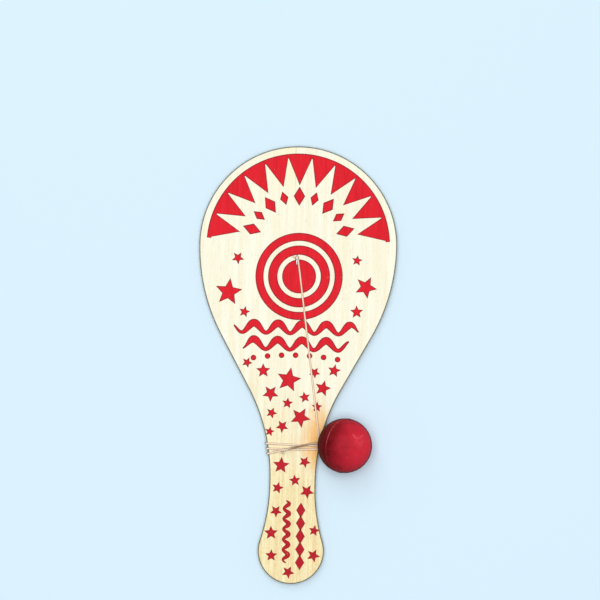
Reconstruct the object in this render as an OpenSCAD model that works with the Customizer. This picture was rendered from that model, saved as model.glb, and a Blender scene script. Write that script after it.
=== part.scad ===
// Paddle ball game: a plywood paddle with a rubber ball on an elastic thread. The thread is stapled to
// the middle of the blade, runs down the face and is wound three times round the neck for storage, and
// the ball sits against the neck beside it.
// The paddle lies on its back. +X points to its right, +Y to the top of the blade and +Z out of its face.
// The origin is under the middle of the paddle's length, on the surface that it lies on.

/* [Paddle] */
// Width of the blade, whose top is a half circle of this diameter
blade_w = 127; // [115:1:145]
// Length of the paddle, from the top of the blade to the end of the handle
paddle_l = 281; // [272:1:310]
// Radius of the blade's flanks below its widest place
flank_r = 121; // [105:1:135]
// Angle between the straight stretch of each flank and the paddle's axis
taper_deg = 28.8; // [27:0.2:31]
// Radius of the hollow side between the blade and the handle
neck_r = 120; // [100:1:130]
// Width of the handle at its narrowest place
handle_w = 29.6; // [26:0.2:34]
// Radius of the hollow side between the handle and its round end
grip_r = 120; // [90:1:140]
// Diameter of the round handle end
bulb_d = 42.4; // [38:0.2:48]
// Thickness of each outer ply
skin_t = 1.2; // [0.8:0.1:1.6]
// Thickness of the core ply
core_t = 2.4; // [2:0.1:3.6]

/* [Elastic] */
// Diameter of the elastic thread
strand_d = 1.2; // [1:0.05:1.4]
// Height of the middle turn above the handle end, at the neck's right edge
wrap_h = 89; // [84:1:96]
// Distance between neighbouring turns at the neck's right edge
wrap_pitch = 2; // [1.9:0.1:2.4]
// Radius of the thread's bend where the run turns over the neck's edge
run_bend_r = 1.4; // [1:0.1:2]
// Distance from the paddle's axis at which the last turn leaves the neck for the ball
leave_x = 12.4; // [11:0.2:13]
// Diameter of the thread where it is drawn tight in the hitch on the staple
hitch_d = 0.9; // [0.7:0.05:1]
// Length of the thread's loose end beside the hitch
tail_l = 2.4; // [1.6:0.1:4]

/* [Staple] */
// Height of the staple's upper leg above the handle end
staple_h = 211; // [200:1:214]
// Distance from the paddle's axis to the staple, to the left
staple_x = 0.6; // [0:0.1:2]
// Distance between the axes of the staple's legs
staple_l = 6.2; // [5:0.1:8]
// Diameter of the staple's wire
wire_d = 0.8; // [0.6:0.05:1]
// Radius of the bend between crown and leg, at the wire's axis
wire_bend_r = 0.9; // [0.7:0.1:1.2]
// Depth of the legs in the wood
leg_depth = 3.2; // [2.4:0.1:3.4]

/* [Ball] */
// Diameter of the ball
ball_d = 35; // [32:0.5:40]
// Thickness of the ball's rubber wall
ball_wall = 4.5; // [3:0.5:6]
// Height of the ball's centre above the handle end, along the paddle
ball_h = 90; // [86:1:94]
// Height of the mould seam on the ball
seam_t = 0.2; // [0.1:0.05:0.3]
// Width of the mould seam
seam_w = 1; // [0.6:0.1:1.6]
// Angle between the seam's axis and the thread's hole
seam_tilt_deg = 18; // [0:1:30]
// Diameter of the thread's hole through the wall
hole_d = 1.8; // [1.6:0.1:2.2]
// Diameter of the knot inside the ball
knot_d = 3.4; // [2.8:0.1:4.2]

/* [Clearances] */
// Gap between the wound thread and the wood
wrap_gap = 0.15; // [0.1:0.01:0.3]
// Gap between two crossing strands
cross_gap = 0.5; // [0.45:0.01:0.7]
// Gap between the ball and the strand that it leans on
ball_gap = 0.25; // [0.2:0.05:0.6]
// Gap between the staple's wire and the wood, and between it and the thread
wire_gap = 0.05; // [0.03:0.01:0.08]
// Gap between the hitch and the end of the run
hitch_gap = 0.12; // [0.1:0.01:0.2]
// Gap between the ends of two lengths of the thread
end_gap = 0.05; // [0.03:0.01:0.1]

/* [Hidden] */
$fn = 96;
wood = [0.93, 0.85, 0.68];
core_wood = [0.80, 0.66, 0.46];
thread = [0.87, 0.76, 0.62];
red_rubber = [0.72, 0.08, 0.10];
wire = [0.74, 0.75, 0.77];

// A hollow is cut this much deeper than the straight that it meets, so that no sliver is left
overcut = 0.001;

// Round parts of the thread: sides of a wound strand, and steps of one bend round an edge of the neck
strand_sides = 6;
bend_steps = 4;
// Rings between the two edges on a plain crossing, and on the last one, which climbs over the others
span_rings = 2;
climb_rings = 9;
// Parts of each length at which its distance to the other strands is measured
probe_steps = 4;

// Heights, from the surface that the paddle lies on. The wound strands pass under the paddle.
strand_r = strand_d / 2;
wrap_off = wrap_gap + strand_r;
back_z = strand_r + wrap_off;
core_z = back_z + skin_t;
skin_z = core_z + core_t;
face_z = skin_z + skin_t;

// The outline, as arcs that meet smoothly. Distances along the paddle count from the middle of its length.
end_y = -paddle_l / 2;
head_y = paddle_l / 2 - blade_w / 2;
flank_x = blade_w / 2 - flank_r;
taper_top = [flank_x + flank_r * cos(taper_deg), head_y - flank_r * sin(taper_deg)];
neck_x = handle_w / 2 + neck_r;
taper_end_x = neck_x - neck_r * cos(taper_deg);
taper_end = [taper_end_x, taper_top.y - (taper_top.x - taper_end_x) / tan(taper_deg)];
neck_y = taper_end.y - neck_r * sin(taper_deg);
bulb_r = bulb_d / 2;
bulb_y = end_y + bulb_r;
grip_x = handle_w / 2 + grip_r;
grip_reach = grip_r + bulb_r;
grip_y = bulb_y + sqrt(grip_reach ^ 2 - grip_x ^ 2);
grip_end = [grip_x, grip_y - bulb_y] * (bulb_r / grip_reach) + [0, bulb_y];

// Half the width of the neck at a height between the handle's narrowest place and the flank
function neck_half_w(y) =
    y > taper_end.y ? taper_end.x + (y - taper_end.y) * tan(taper_deg)
    : y > neck_y ? neck_x - sqrt(neck_r ^ 2 - (y - neck_y) ^ 2)
    : handle_w / 2;
// The same for a wound strand, measured at its upper side, where the neck is wider
function wrap_half_w(y) = neck_half_w(y + strand_r);

// Where the three turns pass the right and the left edge of the neck, as shares of their distance
right_shares = [1.9, 0, -1];
left_shares = [0.45, -1.2, -2.75];
leave_share = 0.8;
wrap_y = end_y + wrap_h;
right_ys = [for (share = right_shares) wrap_y + share * wrap_pitch];
left_ys = [for (share = left_shares) wrap_y + share * wrap_pitch];
top_z = face_z + wrap_off;
under_z = back_z - wrap_off;

// The ball rests on the surface and leans on the turn that stands out most at the neck's edge
ball_r = ball_d / 2;
ball_y = end_y + ball_h;
ball_lean = ball_r + wrap_off + strand_r + ball_gap;
ball_x = max([
    for (y = right_ys) wrap_half_w(y) + sqrt(ball_lean ^ 2 - (ball_r - face_z) ^ 2 - (ball_y - y) ^ 2)
]);
ball_at = [ball_x, ball_y, ball_r];

// The last turn crosses over the others and leaves them for the ball in a straight line
climb_z = strand_d + cross_gap;
leave_at = [leave_x, wrap_y + leave_share * wrap_pitch, top_z + climb_z];
lead_dir = (ball_at - leave_at) / norm(ball_at - leave_at);
lead_at = leave_at + lead_dir * strand_d;
// Where the climb starts and ends, as shares of the way from the left edge to the leaving point
climb_start_share = 0.08;
climb_end_share = 0.27;

// The staple and the hitch on its crown, just below the upper leg
wire_r = wire_d / 2;
hitch_r = wire_r + wire_gap + hitch_d / 2;
crown_z = face_z + wire_gap + hitch_r + hitch_d / 2;
leg_y = end_y + staple_h;
hitch_turn = hitch_d * 0.9;
hitch_y = leg_y - wire_bend_r - hitch_d;
run_start = [
    -staple_x + sqrt((wire_r + wire_gap + strand_r) ^ 2 - (crown_z - top_z) ^ 2),
    hitch_y - hitch_turn / 2 - hitch_d / 2 - hitch_gap
];

// The straight run of the thread down the face, which ends on the bend over the neck's right edge
run_edge = [wrap_half_w(right_ys[0]), right_ys[0]];
bend_at = run_edge + [0, run_bend_r];
bend_way = bend_at - run_start;
bend_turn = atan2(bend_way.y, bend_way.x) - asin(run_bend_r / norm(bend_way));
run_dir = [cos(bend_turn), sin(bend_turn)];
bend_start = bend_at - run_bend_r * [-run_dir.y, run_dir.x];
run_end = bend_start - run_dir * strand_d;

// One bend round an edge of the neck, seen along the paddle
function edge_bend(x, y, z, from, to) = [
    for (i = [0 : bend_steps])
        let (a = from + (to - from) * i / bend_steps)
        [x + wrap_off * cos(a), y, z + wrap_off * sin(a)]
];

// Points between two places, without those places
function between(a, b, count) = [for (i = [1 : count]) a + (b - a) * i / (count + 1)];

// One turn as far as the neck's left edge: over the right edge, under the back and up the left edge
function half_turn(right_y, left_y) =
    let (
        right_x = wrap_half_w(right_y),
        left_x = -wrap_half_w(left_y)
    )
    concat(
        edge_bend(right_x, right_y, face_z, 90, 0),
        edge_bend(right_x, right_y, back_z, 0, -90),
        between([right_x, right_y, under_z], [left_x, left_y, under_z], span_rings),
        edge_bend(left_x, left_y, back_z, -90, -180),
        edge_bend(left_x, left_y, face_z, 180, 90)
    );

// The way back across the face, and the last one, which climbs over the strands before it
function crossing(left_y, right_y) =
    between([-wrap_half_w(left_y), left_y, top_z], [wrap_half_w(right_y), right_y, top_z], span_rings);
function eased(t) = let (s = max(0, min(1, t))) s * s * (3 - 2 * s);
function last_crossing(left_y) =
    let (a = [-wrap_half_w(left_y), left_y, top_z])
    [
        for (i = [1 : climb_rings])
            let (
                t = i / climb_rings,
                rise = eased((t - climb_start_share) / (climb_end_share - climb_start_share))
            )
            [a.x + (leave_at.x - a.x) * t, a.y + (leave_at.y - a.y) * t, top_z + climb_z * rise]
    ];

// The whole winding, from the straight run to the ball's lead
function on_face(p) = [p.x, p.y, top_z];
run_bend = [
    for (i = [0 : bend_steps - 1])
        let (a = bend_turn - 90 + (0 - bend_turn) * i / bend_steps)
        on_face(bend_at + run_bend_r * [cos(a), sin(a)])
];
winding = concat(
    [on_face(run_end + run_dir * end_gap)],
    run_bend,
    half_turn(right_ys[0], left_ys[0]),
    crossing(left_ys[0], right_ys[1]),
    half_turn(right_ys[1], left_ys[1]),
    crossing(left_ys[1], right_ys[2]),
    half_turn(right_ys[2], left_ys[2]),
    last_crossing(left_ys[2]),
    [lead_at]
);

// A tube of flat sides along a route round the neck. One flat of each ring faces the neck, and the flats
// touch a round thread of the same route from outside.
function unit(v) = v / norm(v);
function tangents(route) = [
    for (i = [0 : len(route) - 1])
        unit(
            i == 0 ? route[1] - route[0]
            : i == len(route) - 1 ? route[i] - route[i - 1]
            : unit(route[i + 1] - route[i]) + unit(route[i] - route[i - 1])
        )
];
function squared(v, t) = unit(v - (v * t) * t);
function outward(t) = cross(t, squared([0, 1, 0], t));
module tube(route) {
    ways = tangents(route);
    normals = [for (t = ways) outward(t)];
    ring_r = strand_r / cos(180 / strand_sides);
    rings = [
        for (i = [0 : len(route) - 1], k = [0 : strand_sides - 1])
            let (a = (k + 0.5) * 360 / strand_sides)
            route[i] + ring_r * (cos(a) * normals[i] + sin(a) * cross(ways[i], normals[i]))
    ];
    last = (len(route) - 1) * strand_sides;
    sides = [
        for (i = [0 : len(route) - 2], k = [0 : strand_sides - 1])
            let (
                a = i * strand_sides + k,
                b = i * strand_sides + (k + 1) % strand_sides
            )
            each [[a, a + strand_sides, b], [b, a + strand_sides, b + strand_sides]]
    ];
    caps = [
        for (k = [1 : strand_sides - 2])
            each [[0, k, k + 1], [last, last + k + 1, last + k]]
    ];
    polyhedron(points = rings, faces = concat(sides, caps));
}

// The least distance between strands of the winding that are not neighbours along it
probes = [
    for (i = [0 : len(winding) - 2], j = [0 : probe_steps - 1])
        winding[i] + (winding[i + 1] - winding[i]) * j / probe_steps
];
probe_apart = probe_steps * (2 * bend_steps + 4);
winding_gap = min([
    for (i = [0 : len(probes) - 1])
        let (rest = [for (j = i + probe_apart; j < len(probes); j = j + 1) norm(probes[i] - probes[j])])
        len(rest) > 0 ? min(rest) : strand_d * len(winding)
]) - strand_d;
echo(winding_rings = len(winding), winding_gap = winding_gap);
echo(lead_at = lead_at, lead_dir = lead_dir, ball_at = ball_at);

// The paddle's outline in five shapes, each of which runs on inside the next: the round top, the two
// flanks, the taper with its hollow sides, the grip with its own, and the round end
module head_shape() {
    intersection() {
        translate([0, head_y]) circle(r = blade_w / 2, $fn = 360);
        translate([-blade_w / 2, head_y]) square([blade_w, blade_w]);
    }
}

module flank_shape() {
    intersection() {
        translate([flank_x, head_y]) circle(r = flank_r, $fn = 360);
        translate([-flank_x, head_y]) circle(r = flank_r, $fn = 360);
        polygon([
            [-blade_w, taper_end.y], [blade_w, taper_end.y], [blade_w, head_y], [-blade_w, head_y]
        ]);
    }
}

module hollow_sides(x, y, r) {
    difference() {
        children();
        for (side = [-1, 1])
            translate([side * x, y]) circle(r = r + overcut, $fn = 360);
    }
}

module neck_shape() {
    hollow_sides(neck_x, neck_y, neck_r)
        polygon([
            taper_top, taper_end, [handle_w / 2, neck_y],
            [-handle_w / 2, neck_y], [-taper_end.x, taper_end.y], [-taper_top.x, taper_top.y]
        ]);
}

module grip_shape() {
    hollow_sides(grip_x, grip_y, grip_r)
        polygon([
            [handle_w / 2, taper_end.y], [handle_w / 2, grip_y], grip_end,
            [-grip_end.x, grip_end.y], [-handle_w / 2, grip_y], [-handle_w / 2, taper_end.y]
        ]);
}

module bulb_shape() {
    translate([0, bulb_y]) circle(r = bulb_r, $fn = 360);
}

// One ply of the paddle
module ply(bottom, thickness) {
    translate([0, 0, bottom]) {
        linear_extrude(thickness) head_shape();
        linear_extrude(thickness) flank_shape();
        linear_extrude(thickness) neck_shape();
        linear_extrude(thickness) grip_shape();
        linear_extrude(thickness) bulb_shape();
    }
}

// Both leg holes, from a height up through the face. Legs that are longer than two plies reach the third.
module leg_holes(bottom) {
    for (y = [leg_y, leg_y - staple_l])
        translate([-staple_x, y, bottom]) cylinder(d = wire_d + 2 * wire_gap, h = face_z + wire_d - bottom);
}

module face_ply() {
    color(wood)
        difference() {
            ply(skin_z, skin_t);
            leg_holes(core_z);
        }
}

module core_ply() {
    color(core_wood)
        difference() {
            ply(core_z, core_t);
            leg_holes(face_z - leg_depth - wire_gap);
        }
}

module back_ply() {
    color(wood)
        difference() {
            ply(back_z, skin_t);
            leg_holes(face_z - leg_depth - wire_gap);
        }
}

// The staple: a straight crown, two bends and two legs with pointed ends
module staple_half() {
    tip_l = wire_d;
    leg_top = crown_z - wire_bend_r;
    translate([0, staple_l / 2 - wire_bend_r, crown_z])
        rotate([90, 0, 0]) cylinder(d = wire_d, h = staple_l / 2 - wire_bend_r);
    translate([0, staple_l / 2 - wire_bend_r, leg_top])
        rotate([90, 0, 90]) rotate_extrude(angle = 90)
            translate([wire_bend_r, 0]) circle(d = wire_d);
    translate([0, staple_l / 2, face_z - leg_depth + tip_l])
        cylinder(d = wire_d, h = leg_top - face_z + leg_depth - tip_l);
    translate([0, staple_l / 2, face_z - leg_depth])
        cylinder(d1 = wire_d / 4, d2 = wire_d, h = tip_l);
}

module staple() {
    color(wire)
        translate([-staple_x, leg_y - staple_l / 2, 0]) {
            staple_half();
            mirror([0, 1, 0]) staple_half();
        }
}

// The hitch round the crown: two turns drawn together, and the loose end
module elastic_knot() {
    color(thread)
        translate([-staple_x, hitch_y, crown_z]) {
            for (turn = [-0.5, 0.5])
                translate([0, turn * hitch_turn, 0])
                    rotate([90, 0, 0]) rotate_extrude() translate([hitch_r, 0]) circle(d = hitch_d);
            translate([-hitch_r, hitch_turn / 2, face_z + wire_gap + strand_r - crown_z])
                rotate([0, -90, 0]) cylinder(d = strand_d, h = tail_l);
        }
}

// The straight stretch of the thread, a little clear of the face
module elastic_run() {
    run_way = run_end - run_start;
    color(thread)
        translate(on_face(run_start)) rotate([0, 90, atan2(run_way.y, run_way.x)])
            cylinder(d = strand_d, h = norm(run_way));
}

module elastic_wraps() {
    color(thread) tube(winding);
}

// Whatever lies on the line from the winding's end to the ball's centre, with +Z towards the ball
module on_lead_line() {
    translate(lead_at)
        rotate([0, acos(lead_dir.z), atan2(lead_dir.y, lead_dir.x)]) children();
}
lead_to_centre = norm(ball_at - lead_at);
knot_z = lead_to_centre - (ball_r - ball_wall) + knot_d / 2 + end_gap;

module elastic_lead() {
    color(thread)
        on_lead_line()
            translate([0, 0, end_gap]) cylinder(d = strand_d, h = knot_z - knot_d / 2 - 2 * end_gap);
}

// The ball: a hollow rubber shell with its mould seam and the thread's hole
module ball() {
    color(red_rubber)
        on_lead_line()
            translate([0, 0, lead_to_centre])
                difference() {
                    rotate([0, -seam_tilt_deg, 0]) {
                        sphere(r = ball_r);
                        seam();
                    }
                    rotate([0, -seam_tilt_deg, 0]) sphere(r = ball_r - ball_wall);
                    translate([0, 0, -ball_d]) cylinder(d = hole_d, h = ball_d);
                }
}

module seam() {
    rotate_extrude()
        polygon([
            [ball_r - ball_wall / 2, -seam_w / 2], [ball_r - seam_t, -seam_w / 2],
            [ball_r + seam_t, -seam_w / 4], [ball_r + seam_t, seam_w / 4],
            [ball_r - seam_t, seam_w / 2], [ball_r - ball_wall / 2, seam_w / 2]
        ]);
}

// The knot that holds the thread inside the ball
module ball_knot() {
    color(thread)
        on_lead_line() translate([0, 0, knot_z]) sphere(d = knot_d, $fn = 32);
}

face_ply();
core_ply();
back_ply();
staple();
elastic_knot();
elastic_run();
elastic_wraps();
elastic_lead();
ball();
ball_knot();
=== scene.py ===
"""A paddle ball game: a printed plywood paddle, its elastic thread and its rubber ball.

The paddle lies on its back. The thread is stapled to the middle of the blade, runs down the face,
is wound three times round the neck and leaves it for the ball. All sizes are in millimetres until
a point becomes a vertex, where MM turns them into metres.
"""

import logging
import math
from dataclasses import dataclass, field
from enum import Enum

import bmesh
import bpy
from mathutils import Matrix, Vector
from mathutils.geometry import tessellate_polygon
from mathutils.noise import noise as soft_noise
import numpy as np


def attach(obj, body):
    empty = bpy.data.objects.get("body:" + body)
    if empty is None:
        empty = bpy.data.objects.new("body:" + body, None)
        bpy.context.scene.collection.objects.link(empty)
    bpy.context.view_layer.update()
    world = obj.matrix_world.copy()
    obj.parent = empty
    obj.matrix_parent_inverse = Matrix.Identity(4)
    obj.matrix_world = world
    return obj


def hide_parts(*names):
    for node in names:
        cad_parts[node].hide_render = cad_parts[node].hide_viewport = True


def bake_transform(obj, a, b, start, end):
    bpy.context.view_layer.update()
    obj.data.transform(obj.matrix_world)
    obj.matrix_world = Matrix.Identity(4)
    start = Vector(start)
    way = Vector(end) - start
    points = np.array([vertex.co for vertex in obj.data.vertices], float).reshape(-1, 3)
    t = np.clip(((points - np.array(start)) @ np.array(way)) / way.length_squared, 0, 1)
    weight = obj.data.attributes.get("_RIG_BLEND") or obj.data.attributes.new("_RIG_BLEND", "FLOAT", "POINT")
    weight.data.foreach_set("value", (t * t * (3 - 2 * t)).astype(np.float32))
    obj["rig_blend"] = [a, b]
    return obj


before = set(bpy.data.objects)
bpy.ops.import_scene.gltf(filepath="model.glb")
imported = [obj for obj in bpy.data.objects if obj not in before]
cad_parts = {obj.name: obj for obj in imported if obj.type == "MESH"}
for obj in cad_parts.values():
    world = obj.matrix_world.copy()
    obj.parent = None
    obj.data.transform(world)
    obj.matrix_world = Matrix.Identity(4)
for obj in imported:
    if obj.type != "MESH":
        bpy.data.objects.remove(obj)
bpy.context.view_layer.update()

LOG = logging.getLogger("paddle_ball")
MM = 0.001
FULL_TURN = 2 * math.pi

# Short names for the hints. A Rim pairs places with their outward directions, and a Stroke is a
# line of places with a width or a girth for each.
Tree = bpy.types.NodeTree
Node = bpy.types.Node
Socket = bpy.types.NodeSocket
Material = bpy.types.Material
Mesh = bpy.types.Mesh
Piece = bpy.types.Object
Work = bmesh.types.BMesh
Ring = list[bmesh.types.BMVert]
Rgba = tuple[float, float, float, float]
Number = float | Socket
Colour = Rgba | Socket
Rim = list[tuple[Vector, Vector]]
Stroke = tuple[list[Vector], list[float]]


# ---------------------------------------------------------------------------------------------
# Small helpers for colours, nodes and meshes
# ---------------------------------------------------------------------------------------------


def srgb(red: float, green: float, blue: float) -> Rgba:
    """A colour as it looks on a screen.

    Args:
        red: Its red, from 0 to 255.
        green: Its green.
        blue: Its blue.

    Returns:
        The linear colour with full opacity.
    """

    def linear(level: float) -> float:
        """One channel without its display curve."""
        level /= 255
        return level / 12.92 if level <= 0.04045 else ((level + 0.055) / 1.055) ** 2.4

    return (linear(red), linear(green), linear(blue), 1.0)


def put(tree: Tree, kind: str, inputs: dict[str | int, object] | None = None, **settings: object) -> Node:
    """Adds one node to a tree.

    Args:
        tree: The shader or geometry tree.
        kind: The node's Blender type.
        inputs: Values or output sockets for its inputs, by name or by number.
        settings: Properties of the node.

    Returns:
        The new node.
    """
    node = tree.nodes.new(kind)
    for key, value in settings.items():
        setattr(node, key, value)
    for key, value in (inputs or {}).items():
        if isinstance(value, Socket):
            tree.links.new(value, node.inputs[key])
        else:
            node.inputs[key].default_value = value
    return node


def calc(tree: Tree, operation: str, *terms: Number, clamp: bool = False) -> Socket:
    """The output of one Math node.

    Args:
        tree: The tree that the node goes into.
        operation: The Math node's operation.
        terms: Its two or three inputs, numbers or sockets.
        clamp: Whether the result is kept from 0 to 1.

    Returns:
        The result's socket.
    """
    return put(tree, "ShaderNodeMath", dict(enumerate(terms)), operation=operation, use_clamp=clamp).outputs[0]


def fit(tree: Tree, value: Socket, low: float, high: float,
        to_low: float = 0.0, to_high: float = 1.0) -> Socket:
    """A value moved smoothly from one range to another and kept inside it.

    Args:
        tree: The tree that the node goes into.
        value: The socket to be moved.
        low: Where the first range starts.
        high: Where the first range ends.
        to_low: Where the new range starts.
        to_high: Where the new range ends.

    Returns:
        The moved value's socket.
    """
    steps = {0: value, 1: low, 2: high, 3: to_low, 4: to_high}
    return put(tree, "ShaderNodeMapRange", steps, interpolation_type="SMOOTHSTEP").outputs[0]


def blend_colours(tree: Tree, share: Number, first: Colour, second: Colour) -> Socket:
    """Two colours mixed.

    Args:
        tree: The tree that the node goes into.
        share: How much of the second colour there is, a number or a socket.
        first: The first colour or its socket.
        second: The second colour or its socket.

    Returns:
        The mixed colour's socket.
    """
    return put(tree, "ShaderNodeMix", {0: share, 6: first, 7: second}, data_type="RGBA").outputs[2]


def stretched(tree: Tree, vector: Socket, across: float, along: float) -> Socket:
    """Object coordinates counted in cells that are long in Y.

    Args:
        tree: The tree that the node goes into.
        vector: The coordinates' socket, in metres.
        across: The cells' width in X and Z, in millimetres.
        along: The cells' length in Y, in millimetres.

    Returns:
        The stretched coordinates' socket.
    """
    scale = (1 / (across * MM), 1 / (along * MM), 1 / (across * MM))
    return put(tree, "ShaderNodeVectorMath", {0: vector, 1: scale}, operation="MULTIPLY").outputs[0]


def noise(tree: Tree, vector: Socket, scale: Number = 1.0, detail: float = 2.0,
          roughness: float = 0.5, distortion: float = 0.0) -> Socket:
    """The value of one Noise Texture node.

    Args:
        tree: The tree that the node goes into.
        vector: The coordinates' socket.
        scale: Cells a unit.
        detail: Octaves.
        roughness: Strength of the finer octaves.
        distortion: Warp of the cells.

    Returns:
        The noise value's socket.
    """
    inputs = {"Vector": vector, "Scale": scale, "Detail": detail, "Roughness": roughness,
              "Distortion": distortion}
    return put(tree, "ShaderNodeTexNoise", inputs).outputs[0]


def new_group(name: str, kind: str, inputs: list[tuple[str, str, object]],
              outputs: list[tuple[str, str]]) -> tuple[Tree, Node, Node]:
    """An empty node group with its interface.

    Args:
        name: The group's name.
        kind: ShaderNodeTree or GeometryNodeTree.
        inputs: Name, socket type and value of each input.
        outputs: Name and socket type of each output.

    Returns:
        The tree and its input and output nodes.
    """
    tree = bpy.data.node_groups.new(name, kind)
    for label, socket, value in inputs:
        made = tree.interface.new_socket(label, in_out="INPUT", socket_type=socket)
        if value is not None:
            made.default_value = value
    for label, socket in outputs:
        tree.interface.new_socket(label, in_out="OUTPUT", socket_type=socket)
    return tree, tree.nodes.new("NodeGroupInput"), tree.nodes.new("NodeGroupOutput")


def use_group(tree: Tree, group: Tree, inputs: dict[str | int, object]) -> Node:
    """Places a node group in a material with its own values."""
    return put(tree, "ShaderNodeGroup", inputs, node_tree=group)


def new_material(name: str) -> tuple[Material, Tree, Node, Socket]:
    """A material with a Principled BSDF.

    Args:
        name: The material's name.

    Returns:
        The material, its tree, its Principled BSDF and the Object coordinates' socket.
    """
    material = bpy.data.materials.new(name)
    material.use_nodes = True
    tree = material.node_tree
    shader = tree.nodes["Principled BSDF"]
    place = tree.nodes.new("ShaderNodeTexCoord").outputs["Object"]
    return material, tree, shader, place


def bump(tree: Tree, height: Socket, distance: float) -> Socket:
    """The normal of a height that changes over the surface, with its greatest relief in millimetres."""
    return put(tree, "ShaderNodeBump", {"Height": height, "Distance": distance * MM}).outputs[0]


def painted(tree: Tree, name: str) -> Socket:
    """A float attribute of the mesh, read in a material."""
    return put(tree, "ShaderNodeAttribute", attribute_name=name).outputs["Fac"]


def read_float(tree: Tree, name: str) -> Socket:
    """A float attribute of the geometry, read in a Geometry Nodes tree."""
    return put(tree, "GeometryNodeInputNamedAttribute", {"Name": name}, data_type="FLOAT").outputs[0]


def write_float(tree: Tree, geometry: Socket, name: str, value: Socket) -> Socket:
    """Stores a float attribute on the points of a geometry.

    Args:
        tree: The Geometry Nodes tree.
        geometry: The geometry.
        name: The attribute's name.
        value: Its value.

    Returns:
        The marked geometry's socket.
    """
    return put(tree, "GeometryNodeStoreNamedAttribute", {"Geometry": geometry, "Name": name, "Value": value},
               data_type="FLOAT", domain="POINT").outputs[0]


def spot(tree: Tree, axes: list[Socket], middle: tuple[float, float], reach: tuple[float, float]) -> Socket:
    """The distance in X and Y from a spot, counted in the spot's own reach.

    Args:
        tree: The tree that the nodes go into.
        axes: The three coordinates' sockets.
        middle: The spot's middle, in millimetres.
        reach: Its half width and half height, in millimetres.

    Returns:
        The distance's socket, 1 at the spot's edge.
    """
    across, along = [calc(tree, "DIVIDE", calc(tree, "SUBTRACT", axis, at * MM), size * MM)
                     for axis, at, size in zip(axes, middle, reach)]
    return calc(tree, "SQRT", calc(tree, "ADD", calc(tree, "MULTIPLY", across, across),
                                   calc(tree, "MULTIPLY", along, along)))


def object_of(name: str, data: bpy.types.ID) -> Piece:
    """Links an object.

    Args:
        name: The object's name.
        data: Its mesh, camera or light.

    Returns:
        The object, at the origin.
    """
    made = bpy.data.objects.new(name, data)
    bpy.context.scene.collection.objects.link(made)
    return made


def dressed(node: str, material: Material) -> Piece:
    """Gives a CAD node's own mesh a finish.

    Args:
        node: The node's name.
        material: The finish.

    Returns:
        The node.
    """
    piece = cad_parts[node]
    piece.data.materials.clear()
    piece.data.materials.append(material)
    return piece


def place_field(*axes: float) -> Vector:
    """A dataclass field that holds a place or a direction."""
    return field(default_factory=lambda: Vector(axes))


def band(work: Work, first: Ring, second: Ring) -> list[bmesh.types.BMFace]:
    """Joins two closed rings with faces. A ring of one vertex is a pole.

    Args:
        work: The bmesh.
        first: The one ring.
        second: The other ring.

    Returns:
        The new faces.
    """
    count = max(len(first), len(second))
    faces = []
    for k in range(count):
        n = (k + 1) % count
        corners = [first[k % len(first)], first[n % len(first)], second[n % len(second)], second[k % len(second)]]
        faces.append(work.faces.new(list(dict.fromkeys(corners))))
    return faces


def mesh_from(name: str, work: Work) -> Mesh:
    """Turns a bmesh into a mesh whose faces point outwards.

    Args:
        name: The mesh's name.
        work: The bmesh, which is freed.

    Returns:
        The mesh.
    """
    bmesh.ops.recalc_face_normals(work, faces=work.faces)
    mesh = bpy.data.meshes.new(name)
    work.to_mesh(mesh)
    work.free()
    return mesh


def point_set(name: str, points: list[Vector], lines: list[int], **values: list[float]) -> Piece:
    """Loose points, or open lines of points, that a Geometry Nodes tree builds on.

    Args:
        name: The object's name.
        points: The places in millimetres.
        lines: How many points each line has, in order; empty for loose points.
        values: Float attributes, one value a point.

    Returns:
        The object.
    """
    mesh = bpy.data.meshes.new(name)
    pairs, first = [], 0
    for count in lines:
        pairs += [(i, i + 1) for i in range(first, first + count - 1)]
        first += count
    mesh.from_pydata([point * MM for point in points], pairs, [])
    for key, numbers in values.items():
        mesh.attributes.new(key, "FLOAT", "POINT").data.foreach_set("value", numbers)
    return object_of(name, mesh)


def grown(seed: Piece, tree: Tree, values: dict[str, object]) -> Piece:
    """Runs a Geometry Nodes tree on a seed object and keeps the plain mesh that it makes.

    Args:
        seed: The object that holds the points. It is removed, and the new piece takes its name.
        tree: The Geometry Nodes tree.
        values: Value of each named input.

    Returns:
        The finished piece, at the origin.
    """
    modifier = seed.modifiers.new("grow", "NODES")
    modifier.node_group = tree
    sockets = {item.name: item.identifier for item in tree.interface.items_tree if item.in_out == "INPUT"}
    for label, value in values.items():
        modifier[sockets[label]] = value
    bpy.context.view_layer.update()
    evaluated = seed.evaluated_get(bpy.context.evaluated_depsgraph_get())
    mesh = bpy.data.meshes.new_from_object(evaluated)
    name = seed.name
    seed.modifiers.remove(modifier)
    bpy.data.objects.remove(seed)
    mesh.name = name
    return object_of(name, mesh)


# ---------------------------------------------------------------------------------------------
# Effects that several finishes share
# ---------------------------------------------------------------------------------------------


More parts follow.
